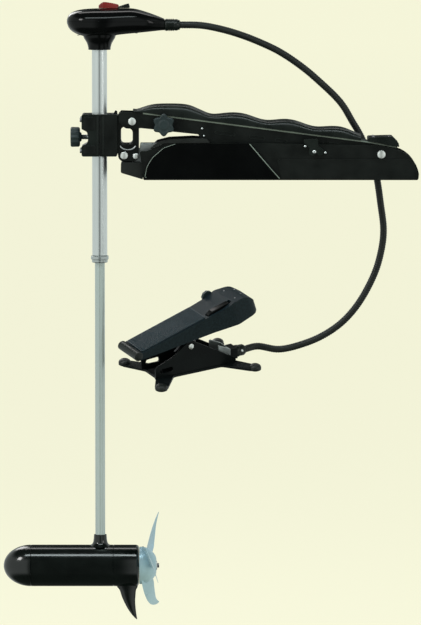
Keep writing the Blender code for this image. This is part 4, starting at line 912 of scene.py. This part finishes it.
def make_pod():
    """Motor housing with its shaft socket, nose cone, and tail with the skeg."""
    seam_x, tail_x = low("motor_housing").x, high("motor_housing").x
    place = (seam_x, 0, POD_Z)
    housing = sleeve(POD_R, POD_R - POD_WALL, tail_x - seam_x, place, (1, 0, 0), 0.7, 96)
    top = high("motor_housing").z
    shell = POD_Z + POD_R
    socket = [(11.1, top), (13.2, top), (14.0, top - 0.8), (14.4, shell + 14), (15.4, shell + 7)]
    socket += [(17.6, shell + 2.6), (21.0, shell + 0.2), (24.0, shell - 3), (11.1, shell - 3), (11.1, top)]
    housing = merged(housing, turned(socket, (COLUMN_X, 0, 0), (0, 0, 1)))
    instead("motor_shell", housing, POD_PAINT, "motor_housing", smooth=40)
    screw_z = POD_Z + math.sqrt(POD_R**2 - SOCKET_SCREW_Y**2) - 0.3
    for x in (COLUMN_X - 12, COLUMN_X + 12):
        screw = dome(2.6, 1.6, (x, SOCKET_SCREW_Y, screw_z), (0, -0.45, 0.9))
        beside("socket_screw", screw, STEEL, "motor_housing")

    tip, seam = low("nose_cone").x, high("nose_cone").x
    nose = seam - tip
    profile = []
    for step in range(25):
        angle = math.pi / 2 * step / 24
        profile.append((POD_R * math.sin(angle), nose * (1 - math.cos(angle))))
    profile[-1] = (POD_R - 0.6, nose)
    profile.insert(-1, (POD_R, nose - 0.6))
    for step in range(13):
        angle = math.pi / 2 * (1 - step / 12)
        profile.append(((POD_R - 4) * math.sin(angle), nose - (nose - 5) * math.cos(angle)))
    instead("motor_nose", turned(profile, (tip, 0, POD_Z), (1, 0, 0), 96), POD_PAINT, "nose_cone", smooth=40)

    back = high("tail_housing").x - low("tail_housing").x
    front = low("tail_housing").x
    profile = [(POD_R - 3.8, 0), (POD_R - 0.6, 0), (POD_R, 0.6), (POD_R, back - 6), (POD_R - 0.7, back - 3.4)]
    profile += [(POD_R - 2.2, back - 1.0), (POD_R - 4.4, back), (12.0, back), (12.0, back - 11)]
    profile += [(POD_R - 3.8, back - 15), (POD_R - 3.8, 0)]
    tail = turned(profile, (front, 0, POD_Z), (1, 0, 0), 96)
    rings = []
    for z, lead, trail, half in smooth_table(SKEG, 30):
        ring = []
        for angle in around(24):
            share = 0.5 + 0.5 * math.cos(angle)
            fat = math.sin(angle) * (1.25 - 0.5 * share)
            ring.append((lead + (trail - lead) * share, half * max(-1.0, min(1.0, fat)), z))
        rings.append(ring)
    instead("tail_and_skeg", merged(tail, lofted(rings)), POD_PAINT, "tail_housing", smooth=40)
    for angle in (45, 135, 225, 315):
        c, s = math.cos(math.radians(angle)), math.sin(math.radians(angle))
        place = (tip + 36, 27 * c, POD_Z + 27 * s)
        beside("nose_bolt", dome(3.0, 1.6, place, (-0.86, 0.5 * c, 0.5 * s)), POD_PAINT, "nose_cone")


BLADE = [
    # radius, chord, pitch, skew, rake, thickness
    (33, 54, 24, -50, -288, 6), (44, 60, 25, -46, -287, 5), (58, 56, 24, -38, -284.5, 4),
    (76, 44, 23, -27, -280, 3.2), (93, 29, 22, -16, -275, 2.6), (106, 18, 21, -8, -270, 2.0),
    (115, 10, 20, -3, -266, 1.5), (120, 4, 20, 0, -263.5, 1.0),
]
BLADES = 3
HUB_R = 41.0
FIRST_BLADE = -20.0  # degrees from upright


def make_propeller():
    """Hub with the pocket for its nut, and three swept foil blades."""
    x0 = low("propeller").x
    profile = [(6.2, 0), (HUB_R - 1, 0), (HUB_R, 0.8), (HUB_R, 3), (40.7, 7.5), (40.0, 12), (38.7, 16)]
    profile += [(36.8, 20), (34.2, 24.2), (31, 28), (27.4, 31.4), (23, 34.5), (18.6, 36.6), (14, 37.5)]
    profile += [(12.5, 37.5), (12.5, 30), (6.2, 30), (6.2, 0)]
    whole = turned(profile, (x0, 0, POD_Z), (1, 0, 0), 96)
    sections = smooth_table(BLADE, 34)
    for blade in range(BLADES):
        rings = []
        for radius, chord, pitch, skew, rake, thick in sections:
            pitch, skew = math.radians(pitch), math.radians(skew)
            ring = []
            for angle in around(28):
                along = 0.5 * max(chord, 4) * math.cos(angle)
                across = 0.5 * thick * math.sin(angle) * (1 - 0.35 * math.cos(angle))
                turn = skew - (along * math.cos(pitch) - across * math.sin(pitch)) / radius
                x = rake - along * math.sin(pitch) + across * math.cos(pitch)
                ring.append((x, -radius * math.sin(turn), radius * math.cos(turn)))
            rings.append(ring)
        angle = math.radians(FIRST_BLADE + 360 / BLADES * blade)
        place = Matrix.Translation((0, 0, POD_Z)) @ Matrix.Rotation(angle, 4, "X")
        whole = merged(whole, moved(lofted(rings), place))
    instead("propeller_moulding", whole, PROP_GREY, "propeller", smooth=40)


# ------------------------------ foot pedal


PEDAL_CENTRE = (-194.6, 0.0, -412.5)
PEDAL_LEAN = math.radians(17)
PEDAL_TURN = math.radians(29.5)
PEDAL_PIVOT = (-16, 0, 64)
TREAD_SLOPE = math.radians(17.2)


def pedal_frame():
    """The pedal's own frame (along, across, up): its base plate's centre, lean and turn, mm."""
    lean = Matrix.Rotation(PEDAL_LEAN, 4, "X") @ Matrix.Rotation(PEDAL_TURN, 4, "Z")
    return Matrix.Translation(PEDAL_CENTRE) @ lean


def tread_frame():
    """The tread's frame: the pedal's, rocked heel-down about the pivot."""
    return pedal_frame() @ Matrix.Translation(PEDAL_PIVOT) @ Matrix.Rotation(-TREAD_SLOPE, 4, "Y")


def make_pedal():
    """The ribbed mat, heel lip, toe screws, foot pads, base plate screws and gland bolt."""
    tread, pedal = tread_frame(), pedal_frame()
    outline = rounded([(-113, -35, 5), (52, -35, 5), (52, 35, 5), (-113, 35, 5)])
    mat = laid(plate(outline, -48.6, -46.4, edge=0.5))
    for row in range(16):
        y = -31.5 + 4.2 * row
        mat = merged(mat, block((-110, y - 0.9, 48.0), (49, y + 0.9, 49.4), 0.4))
    instead("tread_ribbed_mat", moved(mat, tread), MAT, "tread_mat")
    lip = []
    for y in (-39.2, -38.2, -34, 34, 38.2, 39.2):
        inset = 2.0 if abs(y) > 39 else 0.0
        ring = []
        for angle in around(20):
            along = -124.5 + (10.5 - inset) * math.cos(angle)
            ring.append((along, y, 42.0 + (10.0 - inset) * math.sin(angle)))
        lip.append(ring)
    beside("heel_lip", moved(lofted(lip), tread), SATIN, "pedal_tread")
    for x, y in ((136, -24), (136, 24), (156, -14), (156, 14)):
        z = 49.6 if x < 140 else 46.2
        beside("toe_screw", moved(dome(1.8, 1.2, (x, y, z - 0.6), (0, 0, 1)), tread), STEEL, "pedal_tread")
    profile = [(0, 13), (5, 12.8), (9, 11.6), (12, 9.2), (13.4, 6.2), (13.6, 3), (13.0, 0.6), (11.6, -0.6)]
    profile.append((0, -0.6))
    for x, y in ((117, -83), (117, 83), (-117, -83), (-117, 83)):
        pad = turned(profile, (x, y, 0), (0, 0, 1), 40)
        beside("pedal_foot_pad", moved(pad, pedal), RUBBER, "pedal_base")
    for x, y in ((-60, -26), (-60, 26), (40, -26), (40, 26)):
        beside("pedal_plate_screw", moved(dome(3.4, 1.8, (x, y, 5), (0, 0, 1)), pedal), STEEL, "pedal_base")
    bolt = moved(dome(3.2, 2.2, (124.5, -12.2, 17.5), (0, -0.9, 0.4)), pedal)
    beside("gland_bolt", bolt, STAINLESS, "pedal_cable_gland")


# ------------------------------ control cable

CABLE_R = 7.5
CABLE_RIB = 0.35
CABLE_RIB_PITCH = 5.0
CABLE_DROP = [
    (213.6, 67.0, 6.0), (224.0, 68.0, -60.0), (230.5, 68.0, -118.0), (224.0, 68.0, -170.0),
    (208.0, 67.0, -220.0), (177.0, 66.0, -277.0), (140.0, 66.0, -320.0), (95.0, 66.0, -351.0),
    (45.0, 66.0, -371.0), (0.0, 66.0, -380.0),
]
CABLE_RISE = [
    (196.0, 67.0, 55.0), (178.0, 67.0, 93.0), (162.0, 66.5, 120.0), (134.0, 65.0, 165.0),
    (84.0, 61.0, 213.6), (46.0, 56.0, 245.0), (2.0, 47.0, 274.5), (-42.0, 35.0, 296.0),
    (-85.0, 22.0, 313.0), (-128.6, 10.0, 326.0), (-172.0, 2.5, 334.0),
]


def cable_piece(name, points, node, ends=None):
    """One ribbed length of cable; given ends, it is fixed in place rather than riding on a body."""

    def radius(walked):
        return CABLE_R + CABLE_RIB * math.cos(2 * math.pi * walked / CABLE_RIB_PITCH)

    fine = smooth_route(points, 1.25)
    body = None if ends else BODY_OF[node]
    obj = piece(name, swept(fine, radius, sides=20), RUBBER, body, [node], smooth=60)
    if ends:
        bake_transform(obj)


def make_cables():
    """The control cable: pedal to clip, then three lengths along the arms, fixed in place."""
    pedal = pedal_frame()
    lead = pedal @ Vector((172.0, 0, 14))
    exit_point = pedal @ Vector((137.0, 0, 14))
    drop = [Vector(p) for p in CABLE_DROP]
    rise = [Vector(p) for p in CABLE_RISE]
    clip = rise[0]
    down = (drop[0] - clip).normalized()
    route = [clip + down * 0.2, clip + down * 4.0, *drop, lead, exit_point]
    cable_piece("cable_to_pedal", route, "cable_lower")
    end = Vector((high("head_cable_gland").x - 4.0, 0, middle("head_cable_gland").z))
    whole = smooth_route(rise + [end], 18.0)
    first = 7  # the cable is split here, where it passes from the base to the arm, and half way along, where it passes from the arm to the bracket
    second = round(len(whole) * 0.5)
    cable_piece("cable_by_arm", whole[: first + 1], "cable_rear", ("base", "arm"))
    cable_piece("cable_over_arm", whole[first : second + 1], "cable_middle", ("arm", "bracket"))
    cable_piece("cable_to_head", whole[second:], "cable_front", ("bracket", "column"))


# ------------------------------ studio

PAPER = (0.93, 0.93, 0.72)
PAPER_SHADE = 0.12
PAPER_GLOW = 0.905
SKY_BASE = 0.05
SKY_WALL = 0.7
SKY_DARK = (0.04, 0.32)
SKY_GAP = 0.7


def make_paper():
    """A cream paper that glows a little, so that it keeps its tone under the lights."""
    shade = tuple(PAPER_SHADE * c for c in PAPER)
    paper = finish("studio_paper", shade, 0.95, mottle=0.004, spread=0.02, slot=False)
    shader = paper.node_tree.nodes["Principled BSDF"]
    shader.inputs["Specular IOR Level"].default_value = 0.0
    shader.inputs["Emission Color"].default_value = (*PAPER, 1)
    shader.inputs["Emission Strength"].default_value = PAPER_GLOW
    return paper


def make_sky():
    """A dim sky, bright at the left and right and dark between them, for long clean reflections."""
    world = bpy.data.worlds.new("studio_sky")
    world.use_nodes = True
    tree = world.node_tree
    new = tree.nodes.new

    def ramp(value, start, end):
        node = new("ShaderNodeMapRange")
        node.interpolation_type = "SMOOTHSTEP"
        node.inputs["From Min"].default_value = start
        node.inputs["From Max"].default_value = end
        tree.links.new(value, node.inputs["Value"])
        return node.outputs["Result"]

    def math_node(operation, first, second=None):
        node = new("ShaderNodeMath")
        node.operation = operation
        for socket, value in zip(node.inputs, (first, second)):
            if isinstance(value, (int, float)):
                socket.default_value = value
            elif value is not None:
                tree.links.new(value, socket)
        return node.outputs["Value"]

    def product(first, second):
        return math_node("MULTIPLY", first, second)

    place = new("ShaderNodeTexCoord")
    split = new("ShaderNodeSeparateXYZ")
    tree.links.new(place.outputs["Generated"], split.inputs[0])
    x, y, z = split.outputs
    level = math_node("SQRT", math_node("ADD", product(x, x), product(y, y)))
    sideways = math_node("DIVIDE", x, level)
    side_walls = ramp(math_node("ABSOLUTE", sideways), SKY_DARK[0], SKY_DARK[1])
    gap = product(ramp(sideways, 0.62, 0.72), ramp(sideways, 0.92, 0.82))
    front = ramp(y, 0.1, -0.1)
    gap = math_node("SUBTRACT", 1.0, product(product(gap, front), SKY_GAP))
    height = ramp(math_node("ABSOLUTE", z), 0.8, 0.5)
    wall = product(product(side_walls, height), gap)
    light = math_node("ADD", product(wall, SKY_WALL), SKY_BASE)
    background = tree.nodes["Background"]
    background.inputs["Color"].default_value = (0.93, 1.0, 0.97, 1)
    tree.links.new(light, background.inputs["Strength"])
    bpy.context.scene.world = world


def area_light(name, place, size, power, colour=(1.0, 0.99, 0.97)):
    """A soft box aimed at the middle of the view."""
    data = bpy.data.lights.new(name, "AREA")
    data.shape = "RECTANGLE"
    data.size, data.size_y = size[0] * MM, size[1] * MM
    data.energy = power
    data.color = colour
    light = bpy.data.objects.new(name, data)
    light.location = Vector(place) * MM
    light.rotation_euler = (VIEW_CENTRE - Vector(place)).normalized().to_track_quat("-Z", "Y").to_euler()
    bpy.context.scene.collection.objects.link(light)


COVE_RADIUS = 45000.0  # far enough out that a camera standing back from any pose is still inside
COVE_CORNER = 5000.0
COVE_HEIGHT = 35000.0


def make_studio():
    """A plain round floor that curves up into a pale wall, soft boxes and the sky that reflections see."""
    floor_z = low("tail_housing").z - 260.0
    flat = COVE_RADIUS - COVE_CORNER
    profile = [(0.0, 0.0), (flat, 0.0)]
    for step in range(1, 17):
        angle = math.radians(90 * step / 16)
        profile.append((flat + COVE_CORNER * math.sin(angle), COVE_CORNER * (1 - math.cos(angle))))
    profile.append((COVE_RADIUS, COVE_HEIGHT))
    floor = piece("studio_floor", turned(profile, (0, 0, floor_z), (0, 0, 1), 64), make_paper())
    floor.visible_glossy = False
    floor.visible_shadow = False
    make_sky()
    area_light("key", (-3600, -2600, 2700), (1100, 1300), 70)
    area_light("fill", (2900, -2600, 900), (700, 1500), 14)
    area_light("overhead_strip", (-200, -1700, 3000), (3200, 620), 56, colour=(0.88, 1.0, 1.0))
    area_light("top", (-150, 1900, 2900), (2600, 700), 16)
    area_light("rim", (-1400, 2400, 1500), (900, 1500), 20)


# ------------------------------ build

make_camera()
make_column()
make_head()
make_pointer()
make_depth_knob()
make_star_knob()
make_clamp_details()
make_casting_details()
make_cover()
make_arm_details()
make_latch_details()
make_base_details()
make_pod()
make_propeller()
make_pedal()
make_cables()
dress_cad_nodes()
make_studio()
